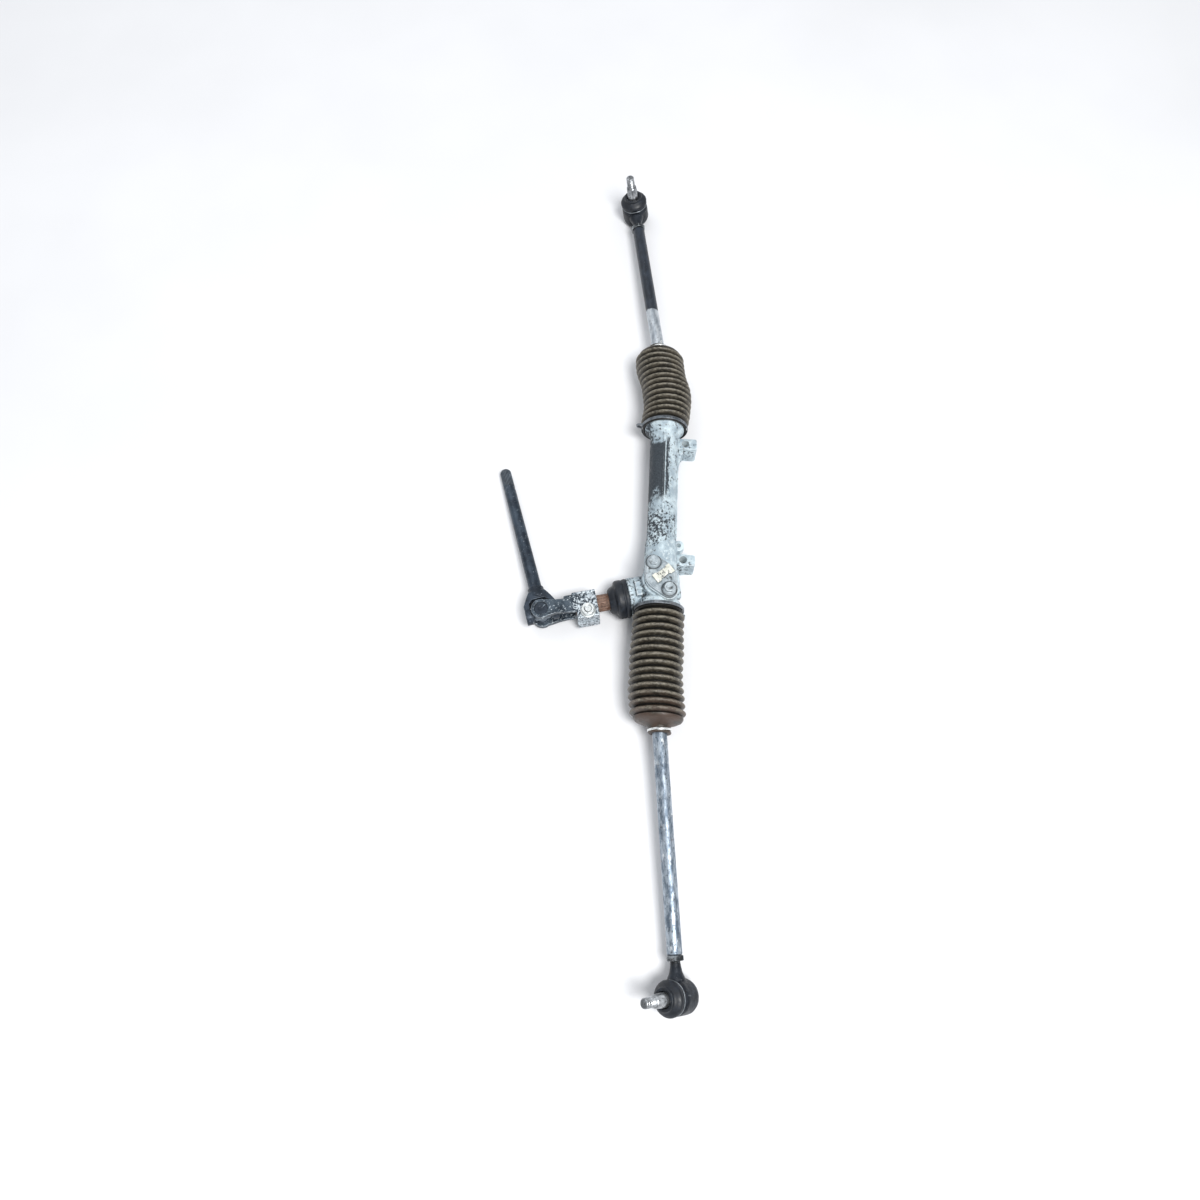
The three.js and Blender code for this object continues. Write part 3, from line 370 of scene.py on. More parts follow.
# ---- materials ---------------------------------------------------------------------------------
class Nodes:
    """A short way to write a procedural surface as a few calls."""

    def __init__(self, name, roughness, metallic):
        self.material = bpy.data.materials.new(name)
        self.material.use_nodes = True
        self.tree = self.material.node_tree
        self.shader = self.tree.nodes["Principled BSDF"]
        self.shader.inputs["Metallic"].default_value = metallic
        self.shader.inputs["Roughness"].default_value = roughness
        self.place = self.tree.nodes.new("ShaderNodeTexCoord").outputs["Object"]

    def put(self, socket, value):
        if isinstance(value, bpy.types.NodeSocket):
            self.tree.links.new(value, socket)
        elif isinstance(value, tuple) and len(value) == 3:
            socket.default_value = (*value, 1)
        else:
            socket.default_value = value

    def noise(self, size, detail=4.0, roughness=0.6, stretch=None):
        """Noise whose features are about size millimetres across."""
        node = self.tree.nodes.new("ShaderNodeTexNoise")
        node.inputs["Scale"].default_value = 1 / (size * MM)
        node.inputs["Detail"].default_value = detail
        node.inputs["Roughness"].default_value = roughness
        place = self.place
        if stretch:
            mapping = self.tree.nodes.new("ShaderNodeMapping")
            mapping.inputs["Scale"].default_value = stretch
            self.tree.links.new(place, mapping.inputs["Vector"])
            place = mapping.outputs["Vector"]
        self.tree.links.new(place, node.inputs["Vector"])
        return node.outputs["Fac"]

    def steps(self, value, low, high, out_low=0.0, out_high=1.0):
        """Maps low..high to out_low..out_high, held at both ends."""
        node = self.tree.nodes.new("ShaderNodeMapRange")
        node.interpolation_type = "SMOOTHSTEP"
        self.put(node.inputs["Value"], value)
        for socket, number in (("From Min", low), ("From Max", high), ("To Min", out_low),
                               ("To Max", out_high)):
            node.inputs[socket].default_value = number
        return node.outputs["Result"]

    def maths(self, operation, a, b=0.0):
        node = self.tree.nodes.new("ShaderNodeMath")
        node.operation = operation
        self.put(node.inputs[0], a)
        self.put(node.inputs[1], b)
        return node.outputs["Value"]

    def mix(self, share, a, b):
        node = self.tree.nodes.new("ShaderNodeMix")
        node.data_type = "RGBA"
        self.put(node.inputs["Factor"], share)
        self.put(node.inputs["A"], a)
        self.put(node.inputs["B"], b)
        return node.outputs["Result"]

    def along(self, axis):
        node = self.tree.nodes.new("ShaderNodeSeparateXYZ")
        self.tree.links.new(self.place, node.inputs["Vector"])
        return node.outputs[axis]

    def facing(self, axis):
        """How far the surface faces along an object axis, from -1 to 1."""
        node = self.tree.nodes.new("ShaderNodeSeparateXYZ")
        normal = self.tree.nodes.new("ShaderNodeTexCoord").outputs["Normal"]
        self.tree.links.new(normal, node.inputs["Vector"])
        return node.outputs[axis]

    def attribute(self, name):
        node = self.tree.nodes.new("ShaderNodeAttribute")
        node.attribute_name = name
        return node.outputs["Fac"]

    def edges(self, low=0.51, high=0.56):
        """1 on worn outer edges."""
        geometry = self.tree.nodes.new("ShaderNodeNewGeometry")
        return self.steps(geometry.outputs["Pointiness"], low, high)

    def hollows(self, low=0.44, high=0.49):
        """1 in inside corners, for painted shade there."""
        geometry = self.tree.nodes.new("ShaderNodeNewGeometry")
        return self.steps(geometry.outputs["Pointiness"], low, high, 1.0, 0.0)

    def finish(self, color, roughness=None, heights=(), metallic=None):
        """heights is a list of (value, distance in millimetres)."""
        self.put(self.shader.inputs["Base Color"], color)
        if roughness is not None:
            self.put(self.shader.inputs["Roughness"], roughness)
        if metallic is not None:
            self.put(self.shader.inputs["Metallic"], metallic)
        normal = None
        for value, distance in heights:
            bump = self.tree.nodes.new("ShaderNodeBump")
            bump.inputs["Distance"].default_value = distance * MM
            bump.inputs["Strength"].default_value = 1.0
            self.put(bump.inputs["Height"], value)
            if normal is not None:
                self.tree.links.new(normal, bump.inputs["Normal"])
            normal = bump.outputs["Normal"]
        if normal is not None:
            self.tree.links.new(normal, self.shader.inputs["Normal"])
        return self.material


def cast_aluminium():
    """Pale oxide; old grime lies solid on the far half of the tube and speckles the rest. The far film is left off
    faces turned towards +Y and the specks thicken on faces turned towards -Y, so that side is darker; inside
    corners carry painted shade.
    """
    n = Nodes("cast_aluminium", 0.6, 0.2)
    patches = n.noise(14, 5)
    mottle = n.noise(3.2, 6, 0.7)
    fine = n.noise(0.9, 4, 0.7)
    color = n.mix(n.steps(patches, 0.38, 0.62), (0.34, 0.42, 0.47), (0.58, 0.68, 0.72))
    color = n.mix(n.steps(mottle, 0.52, 0.68), color, (0.82, 0.88, 0.88))
    along, across = n.along("X"), n.along("Y")
    wander = n.maths("MULTIPLY", n.maths("SUBTRACT", n.noise(22, 4), 0.5), 0.11)
    reach = n.maths("ADD", along, wander)
    far_half = n.maths("MULTIPLY", n.steps(reach, RACK_ORIGIN.x - 0.192, RACK_ORIGIN.x - 0.182),
                       n.steps(reach, RACK_ORIGIN.x - 0.110, RACK_ORIGIN.x - 0.090, 1.0, 0.0))
    # the far film is kept off faces turned towards +Y
    turned_away = n.steps(n.maths("ADD", n.facing("Y"), n.maths("MULTIPLY", mottle, 0.6)),
                          0.55, 0.75, 1.0, 0.0)
    on_tube = n.steps(across, RACK_ORIGIN.y + 0.014, RACK_ORIGIN.y + 0.018, 1.0, 0.0)
    film = n.maths("MULTIPLY", n.maths("MULTIPLY", far_half, turned_away), on_tube)
    tower = n.steps(across, RACK_ORIGIN.y - 0.019, RACK_ORIGIN.y - 0.012, 0.085, 0.0)
    level = n.maths("ADD", n.maths("ADD", mottle, tower), n.steps(n.noise(30, 2), 0.35, 0.7, -0.07, 0.07))
    # faces turned towards -Y get more of the dark specks
    level = n.maths("ADD", level, n.steps(n.facing("Y"), -0.9, 0.4, 0.07, 0.0))
    far_specks = n.steps(along, RACK_ORIGIN.x - 0.060, RACK_ORIGIN.x - 0.045, 0.055, 0.0)
    level = n.maths("ADD", level, n.maths("MULTIPLY", on_tube, far_specks))
    grime = n.steps(level, 0.57, 0.66)
    color = n.mix(grime, color, (0.035, 0.043, 0.052))
    slate = n.mix(n.steps(fine, 0.45, 0.65), (0.022, 0.03, 0.038), (0.06, 0.075, 0.088))
    color = n.mix(n.maths("MULTIPLY", film, n.steps(mottle, 0.60, 0.68, 1.0, 0.15)), color, slate)
    color = n.mix(n.steps(fine, 0.61, 0.68, 0, 0.8), color, (0.06, 0.07, 0.08))
    # painted shade in inside corners
    color = n.mix(n.maths("MULTIPLY", n.hollows(), 0.7), color, (0.05, 0.05, 0.042))
    color = n.mix(n.maths("MULTIPLY", n.edges(), 0.65), color, (0.88, 0.93, 0.94))
    rough = n.steps(mottle, 0.3, 0.7, 0.42, 0.75)
    return n.finish(color, rough, [(patches, 0.6), (mottle, 0.6), (fine, 0.2)])


def cover_metal():
    """Dull plate with black grease patches, and painted shade in the grooves round its bolts."""
    n = Nodes("cover_metal", 0.45, 0.5)
    patches = n.noise(9, 4)
    scuffs = n.noise(2.0, 6, 0.7)
    color = n.mix(n.steps(patches, 0.35, 0.65), (0.27, 0.32, 0.35), (0.50, 0.56, 0.59))
    color = n.mix(n.steps(scuffs, 0.54, 0.66), color, (0.58, 0.62, 0.64))
    color = n.mix(n.steps(n.noise(5, 5), 0.54, 0.68, 0, 0.9), color, (0.05, 0.052, 0.05))
    color = n.mix(n.maths("MULTIPLY", n.edges(), 0.6), color, (0.70, 0.74, 0.76))
    # painted shade in the grooves round the bolts
    color = n.mix(n.maths("MULTIPLY", n.attribute("groove"), 0.95), color, (0.014, 0.016, 0.018))
    return n.finish(color, n.steps(scuffs, 0.3, 0.7, 0.32, 0.6), [(patches, 0.25), (scuffs, 0.15)])


def pale_paint():
    """Cream paint, rubbed through to dark metal across the middle; the side faces along the edges are darkened
    more, as painted shade.
    """
    n = Nodes("pale_paint", 0.55, 0.0)
    chips = n.noise(2.0, 6, 0.75)
    color = n.mix(n.steps(n.noise(6, 3), 0.3, 0.7), (0.60, 0.60, 0.52), (0.76, 0.76, 0.68))
    # painted shade: faces not turned up get darker
    shaded_sides = n.steps(n.facing("Z"), 0.2, 0.8, 1.0, 0.0)
    level = n.maths("ADD", chips, n.maths("MULTIPLY", n.attribute("middle"), 0.10))
    # worn mixes real rubbing with the painted shade on the sides
    worn = n.steps(n.maths("ADD", level, n.maths("MULTIPLY", shaded_sides, 0.2)), 0.60, 0.67)
    color = n.mix(worn, color, (0.045, 0.05, 0.055))
    return n.finish(color, n.steps(worn, 0, 1, 0.55, 0.4), [(chips, 0.12)])


def worn_steel(name, base, pale, dark, rough=(0.35, 0.6), metallic=0.85, rust=0.0, streak=None):
    """Bare or plated steel with scuffs, dark grease and, where asked, brown rust; inside corners carry painted
    shade.
    """
    n = Nodes(name, rough[0], metallic)
    patches = n.noise(10, 4)
    scuffs = n.noise(2.4, 6, 0.7, stretch=streak)
    color = n.mix(n.steps(patches, 0.35, 0.65), base, pale)
    color = n.mix(n.steps(scuffs, 0.52, 0.66), color, dark)
    if rust:
        spots = n.steps(n.noise(4.5, 6, 0.7), 0.62 - rust * 0.2, 0.72 - rust * 0.2)
        color = n.mix(spots, color, (0.13, 0.06, 0.035))
    color = n.mix(n.maths("MULTIPLY", n.edges(), 0.5), color, tuple(min(1.0, c * 1.25) for c in pale))
    # painted shade in inside corners
    color = n.mix(n.maths("MULTIPLY", n.hollows(), 0.7), color, dark)
    return n.finish(color, n.steps(scuffs, 0.3, 0.7, *rough), [(patches, 0.15), (n.noise(0.7, 4), 0.06)])


def dark_finish(name, base, high, worn, wear=0.62, grease=0.0, bright=None):
    """Blue-black painted or scaled steel, rubbed bright in patches, with painted shade in inside corners.

    bright is a world Y beyond which the finish is nearly all rubbed off.
    """
    n = Nodes(name, 0.38, 0.4)
    patches = n.noise(12, 4)
    scuffs = n.noise(2.6, 6, 0.72)
    color = n.mix(n.steps(patches, 0.35, 0.65), base, high)
    level = scuffs
    if bright is not None:
        level = n.maths("ADD", scuffs, n.steps(n.along("Y"), bright - 0.006, bright + 0.006, 0.0, 0.10))
    rubbed = n.maths("ADD", n.steps(level, wear, wear + 0.08), n.maths("MULTIPLY", n.edges(), 0.5))
    color = n.mix(n.steps(rubbed, 0.0, 1.0), color, worn)
    if grease:
        color = n.mix(n.steps(n.noise(6, 5), 0.62 - grease * 0.15, 0.74), color, (0.012, 0.012, 0.011))
    # painted shade in inside corners
    color = n.mix(n.maths("MULTIPLY", n.hollows(), 0.8), color, (0.008, 0.009, 0.011))
    rough = n.steps(scuffs, 0.3, 0.7, 0.3, 0.55)
    return n.finish(color, rough, [(patches, 0.25), (scuffs, 0.12)])


def black_rubber():
    n = Nodes("black_rubber", 0.5, 0.0)
    dust = n.noise(5, 6, 0.7)
    color = n.mix(n.steps(dust, 0.42, 0.72), (0.0035, 0.0055, 0.0095), (0.013, 0.019, 0.030))
    color = n.mix(n.steps(n.noise(1.6, 5, 0.7), 0.60, 0.72, 0, 0.5), color, (0.055, 0.066, 0.080))
    color = n.mix(n.maths("MULTIPLY", n.edges(), 0.35), color, (0.08, 0.09, 0.10))
    return n.finish(color, n.steps(dust, 0.3, 0.7, 0.38, 0.65), [(dust, 0.14), (n.noise(0.6, 3), 0.04)])


def bellows_rubber():
    """Dusty olive-brown rubber: pale crests, part rubbed and part painted highlight; near-black folds, which are
    painted shade; silt in patches.
    """
    n = Nodes("bellows_rubber", 0.5, 0.0)
    dust = n.noise(16, 5)
    mottle = n.noise(3.6, 6, 0.72, stretch=(2.2, 1, 1))
    crest = n.attribute("crest")
    color = n.mix(n.steps(dust, 0.35, 0.65), (0.020, 0.017, 0.012), (0.052, 0.043, 0.030))
    color = n.mix(n.steps(mottle, 0.50, 0.68, 0, 0.8), color, (0.105, 0.090, 0.064))
    # pale crests: part rubbed wear, part painted highlight
    pale = n.maths("MULTIPLY", n.steps(crest, 0.60, 0.99), n.steps(mottle, 0.38, 0.62, 0.10, 0.9))
    color = n.mix(pale, color, (0.235, 0.212, 0.165))
    outer_end = n.steps(n.along("X"), RACK_ORIGIN.x + 0.110, RACK_ORIGIN.x + 0.150, 0.0, 0.55)
    color = n.mix(n.maths("MULTIPLY", outer_end, n.steps(dust, 0.35, 0.55)), color, (0.075, 0.038, 0.028))
    # painted shade in the folds and inside
    color = n.mix(n.steps(crest, 0.05, 0.62, 0.96, 0.0), color, (0.0055, 0.0055, 0.005))
    rough = n.steps(mottle, 0.3, 0.7, 0.3, 0.6)
    return n.finish(color, rough, [(mottle, 0.2), (n.noise(0.8, 4), 0.06)])


def plain_inner(name, base, pale, metallic, rough):
    """Clean inner pieces: machining or moulding marks and a thin film of grease."""
    n = Nodes(name, rough, metallic)
    marks = n.noise(1.5, 5, 0.6, stretch=(4, 1, 1))
    color = n.mix(n.steps(marks, 0.35, 0.65), base, pale)
    color = n.mix(n.steps(n.noise(7, 4), 0.6, 0.75, 0, 0.5), color, tuple(c * 0.4 for c in base))
    return n.finish(color, n.steps(marks, 0.3, 0.7, rough, rough + 0.2), [(marks, 0.05)])


def rod_steel():
    """Silvery steel streaked lengthwise with dark grease and white salt."""
    n = Nodes("rod_steel", 0.4, 0.75)
    wipes = n.noise(4, 6, 0.7, stretch=(0.3, 1, 1))
    spots = n.noise(2.6, 6, 0.78, stretch=(0.6, 1, 1))
    color = n.mix(n.steps(wipes, 0.38, 0.62), (0.13, 0.17, 0.22), (0.42, 0.48, 0.54))
    color = n.mix(n.steps(spots, 0.54, 0.64, 0, 0.9), color, (0.030, 0.034, 0.038))
    color = n.mix(n.steps(n.noise(6, 6, 0.75, stretch=(0.5, 1, 1)), 0.56, 0.66, 0, 0.9), color,
                  (0.78, 0.81, 0.82))
    color = n.mix(n.steps(n.noise(11, 6, 0.7), 0.62, 0.74, 0, 0.7), color, (0.13, 0.075, 0.045))
    return n.finish(color, n.steps(spots, 0.3, 0.7, 0.3, 0.6), [(wipes, 0.15), (spots, 0.12)])


def painted_rod(bare_until):
    """The far rod: bare steel next to the bellows, old navy paint from a hard line outwards."""
    n = Nodes("far_rod_paint", 0.4, 0.5)
    wipes = n.noise(5, 6, 0.65, stretch=(0.35, 1, 1))
    spots = n.noise(2.6, 6, 0.75)
    bare = n.mix(n.steps(wipes, 0.35, 0.65), (0.34, 0.38, 0.42), (0.66, 0.70, 0.73))
    bare = n.mix(n.steps(spots, 0.56, 0.68, 0, 0.8), bare, (0.06, 0.06, 0.062))
    paint = n.mix(n.steps(wipes, 0.35, 0.65), (0.007, 0.011, 0.018), (0.022, 0.031, 0.046))
    paint = n.mix(n.steps(spots, 0.60, 0.70, 0, 0.6), paint, (0.20, 0.22, 0.24))
    edge = n.maths("ADD", n.along("X"), n.maths("MULTIPLY", n.noise(4, 4), 0.003))
    is_bare = n.steps(edge, bare_until, bare_until + 0.0008)
    color = n.mix(is_bare, paint, bare)
    metallic = n.steps(is_bare, 0, 1, 0.1, 0.75)
    return n.finish(color, n.steps(spots, 0.3, 0.7, 0.3, 0.55), [(wipes, 0.1), (spots, 0.1)], metallic)


def floor_paint():
    n = Nodes("floor_paint", 0.75, 0.0)
    cloud = n.noise(400, 3)
    color = n.mix(n.steps(cloud, 0.3, 0.7), (0.79, 0.79, 0.80), (0.83, 0.83, 0.84))
    return n.finish(color, 0.75, [(n.noise(2, 4), 0.02)])


def make_materials():
    grey, light, soot = (0.10, 0.115, 0.13), (0.26, 0.28, 0.30), (0.02, 0.021, 0.023)
    far_ball_x = joint_position("far_rod_swing").x
    return {
        "cast_aluminium": cast_aluminium(),
        "cover_metal": cover_metal(),
        "pale_paint": pale_paint(),
        "polymer": plain_inner("polymer", (0.62, 0.58, 0.47), (0.74, 0.70, 0.60), 0.0, 0.4),
        "bronze": plain_inner("bronze", (0.42, 0.28, 0.12), (0.60, 0.44, 0.22), 0.85, 0.3),
        "spring_steel": worn_steel("spring_steel", grey, light, soot, (0.3, 0.5), rust=0.1),
        "bearing_steel": plain_inner("bearing_steel", (0.50, 0.51, 0.53), (0.66, 0.67, 0.69), 0.95, 0.2),
        "rusty_steel": worn_steel("rusty_steel", (0.12, 0.07, 0.05), (0.26, 0.17, 0.13),
                                  (0.03, 0.02, 0.016), (0.45, 0.7), 0.5, rust=0.5),
        "black_rubber": black_rubber(),
        "bellows_rubber": bellows_rubber(),
        "dark_steel": dark_finish("dark_steel", (0.011, 0.017, 0.026), (0.034, 0.048, 0.068),
                                  (0.30, 0.35, 0.40)),
        "shaft_steel": dark_finish("shaft_steel", (0.014, 0.022, 0.034), (0.045, 0.064, 0.088),
                                   (0.40, 0.45, 0.49), 0.60),
        "clamp_steel": dark_finish("clamp_steel", (0.018, 0.027, 0.038), (0.065, 0.088, 0.112),
                                   (0.56, 0.62, 0.66), 0.56,
                                   bright=PINION_ORIGIN.y - 0.092),
        "zinc_steel": worn_steel("zinc_steel", (0.60, 0.64, 0.64), (0.86, 0.89, 0.88), (0.10, 0.105, 0.105),
                                 (0.25, 0.45), 0.7),
        "rod_steel": rod_steel(),
        "nut_steel": worn_steel("nut_steel", (0.05, 0.055, 0.06), (0.42, 0.45, 0.47), (0.02, 0.02, 0.021),
                                (0.28, 0.5), 0.85, rust=0.1),
        "far_rod": painted_rod(far_ball_x - 0.119),
        "rod_end_steel": dark_finish("rod_end_steel", (0.005, 0.0075, 0.012), (0.020, 0.026, 0.036),
                                     (0.24, 0.26, 0.28), 0.62, grease=0.6),
        "stud_steel": worn_steel("stud_steel", (0.20, 0.21, 0.22), (0.62, 0.64, 0.66), (0.045, 0.04, 0.034),
                                 (0.25, 0.45), 0.9, rust=0.12),
    }


MATERIALS = make_materials()


def dressed(obj, body, material, nodes=()):
    """Gives a new piece its material, its body and the CAD nodes it stands for."""
    obj.data.materials.clear()
    obj.data.materials.append(MATERIALS[material])
    if body:
        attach(obj, body)
    if nodes:
        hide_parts(*nodes)
    return obj


# ---- housing -----------------------------------------------------------------------------------
COVER_TURN = Matrix.Rotation(math.radians(30), 4, "Z")
GUIDE = (-3, 0, 0)
RACK_Z = RACK_ORIGIN.z / MM
HOUSING_TOP = 60
COVER_SPAN = 35
NEAR_EAR, FAR_EAR, SMALL_EAR = (-38.4, 25.6), (-187, 25.6), (-49.6, 19.2)


def in_ground(arrays, place):
    """Carries arrays from another local frame into GROUND's millimetres."""
    points, faces = arrays
    matrix = np.array(GROUND.inverted() @ place)
    matrix[:3, 3] /= MM
    return points @ matrix[:3, :3].T + matrix[:3, 3], faces


def bar_arrays(start, end, radius, segments=72):
    return turned_arrays([(start, 0), (start, radius), (end, radius), (end, 0)], segments, 0.01)


def upright(arrays, x=0, y=0, z=0):
    """Stands a body turned about X on end."""
    return moved(arrays, (x, y, z), AXIS_TO_Z)


def ear_arrays(x, y, outer, half):
    """A flat-topped mounting ear with a machined ring round its hole."""
    corner = 2.5
    outline = [(-half, 6), (half, 6), (half, outer - corner)]
    outline += circle(corner, 6, 0, 90, (half - corner, outer - corner))
    outline += circle(corner, 6, 90, 90, (corner - half, outer - corner))
    return [moved(prism_arrays(outline, 0.2, 28.0), (x, 0, 0)), upright(bar_arrays(0.0, 28.5, 7.3), x, y)]


def housing_arrays():
    body = turned_arrays([
        (-204.5, 0), (-204.5, 22), (-203.5, 23), (-198, 23), (-193, 17.2), (-188, 16), (-64, 16), (-44, 18),
        (14, 18), (16, 21), (18, 23), (27.5, 23), (28.5, 22), (28.5, 0),
    ], 96, 1.0)
    tower = turned_arrays([
        (-23, 0), (-23, 10), (-21, 12), (-4, 13), (-2, 20), (0, 21.6), (29, 21.6), (30, 22), (33.5, 22),
        (34.5, 21), (34.5, 19.3), (46, 19.3), (46, 0),
    ], 96, 0.6)
    boss = moved(prism_arrays(lozenge(17.5, 9.5, COVER_SPAN), 30, HOUSING_TOP), GUIDE, COVER_TURN)
    rim = turned_arrays([(0, 0), (0, 21.5), (14, 20), (14, 0)], 64, 1.0)
    far_web = [(0, 8), (34, 8), (27, 17), (14, 21), (5, 27), (0, 30)]
    near_web = [(-20, 8), (0, 8), (0, 29), (-7, 26), (-12, 19)]
    lumps = [(10, 20.5, 9, 26, 3.0), (20, 17.5, 8, 24, 2.6), (3, 24, 10, 27, 2.6)]
    rib_profile = [(-12, 0), (10, 0), (8, 26), (-8, 26)]
    tower_rib = [(-16, 0), (16, 0), (10, 22), (-10, 22)]
    parts = [
        in_ground(body, RACK),
        in_ground(tower, PINION),
        boss,
        upright(rim, GUIDE[0], 0, 42),
        moved(prism_arrays(far_web, 7, 23), (FAR_EAR[0], 0, 0)),
        moved(prism_arrays(near_web, 7, 24), (NEAR_EAR[0], 0, 0)),
        *[upright(bar_arrays(low, high, size, 24), FAR_EAR[0] + x, y) for x, y, low, high, size in lumps],
        block_arrays((-170, -60), (14, 17.4), (RACK_Z - 1.4, RACK_Z + 1.4)),
        block_arrays((-190, -60), (-1.2, 1.2), (RACK_Z + 13, RACK_Z + 16.9)),
        upright(bar_arrays(30, 41, 6.3), *SMALL_EAR),
        block_arrays((-54, -45), (6, 19), (31, 40)),
        in_ground(moved(prism_arrays(rib_profile, -3, 3, "x"), (24, 0, 0)), PINION),
        in_ground(moved(prism_arrays(tower_rib, -2.5, 2.5, "x"), (8, 0, 0)), PINION),
    ]
    return parts + ear_arrays(*NEAR_EAR, 39.3, 6.5) + ear_arrays(*FAR_EAR, 39.3, 7)


def housing_cutters():
    along_rack = [bar_arrays(-210, 40, 11.6), bar_arrays(-212, -198, 19), bar_arrays(22, 40, 19),
                  bar_arrays(-199, -178, 14)]
    along_pinion = [bar_arrays(-12, 15, 9.5), bar_arrays(-21.5, -11, 8.3), bar_arrays(14.7, 48, 16.3),
                    bar_arrays(22.6, 24.4, 17.6)]
    upward = [upright(bar_arrays(RACK_Z, 62, 11.3))]
    upward += [upright(bar_arrays(40, 62, 4.3), x) for x in (-COVER_SPAN / 2, COVER_SPAN / 2)]
    holes = [upright(bar_arrays(-1, 30, 4.5), *ear) for ear in (NEAR_EAR, FAR_EAR)]
    holes.append(upright(bar_arrays(29, 43, 2.75), *SMALL_EAR))
    return [in_ground(a, RACK) for a in along_rack] + [in_ground(a, PINION) for a in along_pinion] + [
        moved(a, GUIDE, COVER_TURN) for a in upward] + holes


def bellows_room():
    """Clearance for the cuffs where the ribs and tower come close to them."""
    sleeves = [[(22.6, 23.2), (22.6, 29), (60, 29), (60, 23.2)],
               [(-240, 23.2), (-240, 29), (-198.6, 29), (-198.6, 23.2)]]
    return [in_ground(turned_arrays(sleeve, 96, 0.01), RACK) for sleeve in sleeves]


def make_housing():
    voxel = 0.65
    housing = fused("rack_housing_casting", GROUND, housing_arrays(), voxel, rounds=4, waviness=0.3,
                    wave_size=7)
    for cutter in housing_cutters() + bellows_room():
        cut_by(housing, cutter, GROUND)
    return dressed(housing, "housing", "cast_aluminium", nodes=["rack_housing"])


def make_cover():
    bottom = HOUSING_TOP + 0.3
    plate = prism_arrays(lozenge(16.5, 9, COVER_SPAN), bottom, bottom + 4.2)
    step = prism_arrays(lozenge(15.0, 7.6, COVER_SPAN), bottom + 1, bottom + 5)
    pads = [upright(bar_arrays(bottom, bottom + 4.9, 8.4), x) for x in (-COVER_SPAN / 2, COVER_SPAN / 2)]
    arrays = [moved(a, GUIDE, COVER_TURN) for a in (plate, step, *pads)]
    cover = fused("guide_cover_plate", GROUND, arrays, 0.4, rounds=4, waviness=0.08, wave_size=6)
    for x in (-COVER_SPAN / 2, COVER_SPAN / 2):
        hole = moved(upright(bar_arrays(bottom - 2, bottom + 8, 4.6), x), GUIDE, COVER_TURN)
        cut_by(cover, hole, GROUND)
    groove = cover.data.attributes.new("groove", "FLOAT", "POINT")
    to_guide = (GROUND @ Matrix.Translation(Vector(GUIDE) * MM) @ COVER_TURN).inverted()
    values = []
    for vertex in cover.data.vertices:
        spot = to_guide @ vertex.co / MM
        radii = [math.hypot(spot.x - x, spot.y) for x in (-COVER_SPAN / 2, COVER_SPAN / 2)]
        values.append(max(math.exp(-((r - 8.0) / 0.7) ** 2) for r in radii))
    groove.data.foreach_set("value", values)
    dressed(cover, "housing", "cover_metal", nodes=["guide_cover"])
    for number, x in ((1, -COVER_SPAN / 2), (2, COVER_SPAN / 2)):
        seat = HOUSING_TOP + 5.6
        spot = (GROUND @ Matrix.Translation(Vector(GUIDE) * MM) @ COVER_TURN
                @ Matrix.Translation((x * MM, 0, 0)))
        profile = [(seat - 20, 0), (seat - 20, 3.4), (seat - 19.4, 3.9), (seat, 3.9), (seat, 7.0),
                   (seat + 0.9, 7.0), (seat + 2.2, 5.7), (seat + 2.3, 5.8), (seat + 5.9, 5.8),
                   (seat + 6.6, 5.0), (seat + 6.6, 3.8), (seat + 6.0, 3.4), (seat + 6.0, 0)]
        bolt = turned(f"cover_flange_bolt_{number}", spot @ AXIS_TO_Z, profile, segments=96,
                      shape=hexagonal(10, seat + 2.25, seat + 6.7), fillet=0.3)
        dressed(bolt, "housing", "cover_metal", nodes=[f"cover_bolt_{number}"])


def make_label():
    """The blank bow-tie plate: two raised pale ends and a slightly narrower, worn middle."""
    outline = [(-11.5, -5.4), (-6.5, -5.4), (-5.5, -4), (5.5, -4), (6.5, -5.4), (11.5, -5.4), (11.5, 5.4),
               (6.5, 5.4), (5.5, 4.2), (-5.5, 4.2), (-6.5, 5.4), (-11.5, 5.4)]
    bottom = HOUSING_TOP + 5.6
    centre = (GUIDE[0] - 2, 2, 0)
    plate = moved(prism_arrays(outline, bottom, bottom + 1.8), centre,
                  Matrix.Rotation(math.radians(130), 4, "Z"))
    label = make_object("cover_label_plate", placed(plate[0], GROUND), plate[1])
    bevel = label.modifiers.new("edges", "BEVEL")
    bevel.width = 0.35 * MM
    bevel.segments = 3
    applied(label)
    middle = label.data.attributes.new("middle", "FLOAT", "POINT")
    spot = GROUND @ (Vector(centre) * MM)
    reach = [(v.co - spot).to_2d().length / MM for v in label.data.vertices]
    middle.data.foreach_set("value", [1.0 if r < 8.3 else 0.0 for r in reach])
    label.data.set_sharp_from_angle(angle=math.radians(50))
    dressed(label, "housing", "pale_paint", nodes=["cover_label"])


def make_dust_cap():
    """Rubber cap over the pinion neck, with a lip that closes on the shaft."""
    profile = [(34.8, 19.6), (34.8, 21.2), (35.6, 21.7), (38, 21.7), (39, 21.0), (40, 21.0), (41, 21.6),
               (45.5, 21.6), (47.5, 21.1), (48.8, 19.5), (49.4, 17.6), (50.2, 16.4), (52.5, 15.6),
               (54.2, 14.4), (55.8, 13.2), (56.5, 12), (56.5, 10.1), (55, 9.95), (52, 11), (49.8, 13.5),
               (48, 17), (46.4, 19.0), (46.4, 19.6)]
    cap = turned("pinion_rubber_cap", PINION, profile, segments=128, fillet=0.5)
    dressed(cap, "housing", "black_rubber", nodes=["pinion_dust_cap"])


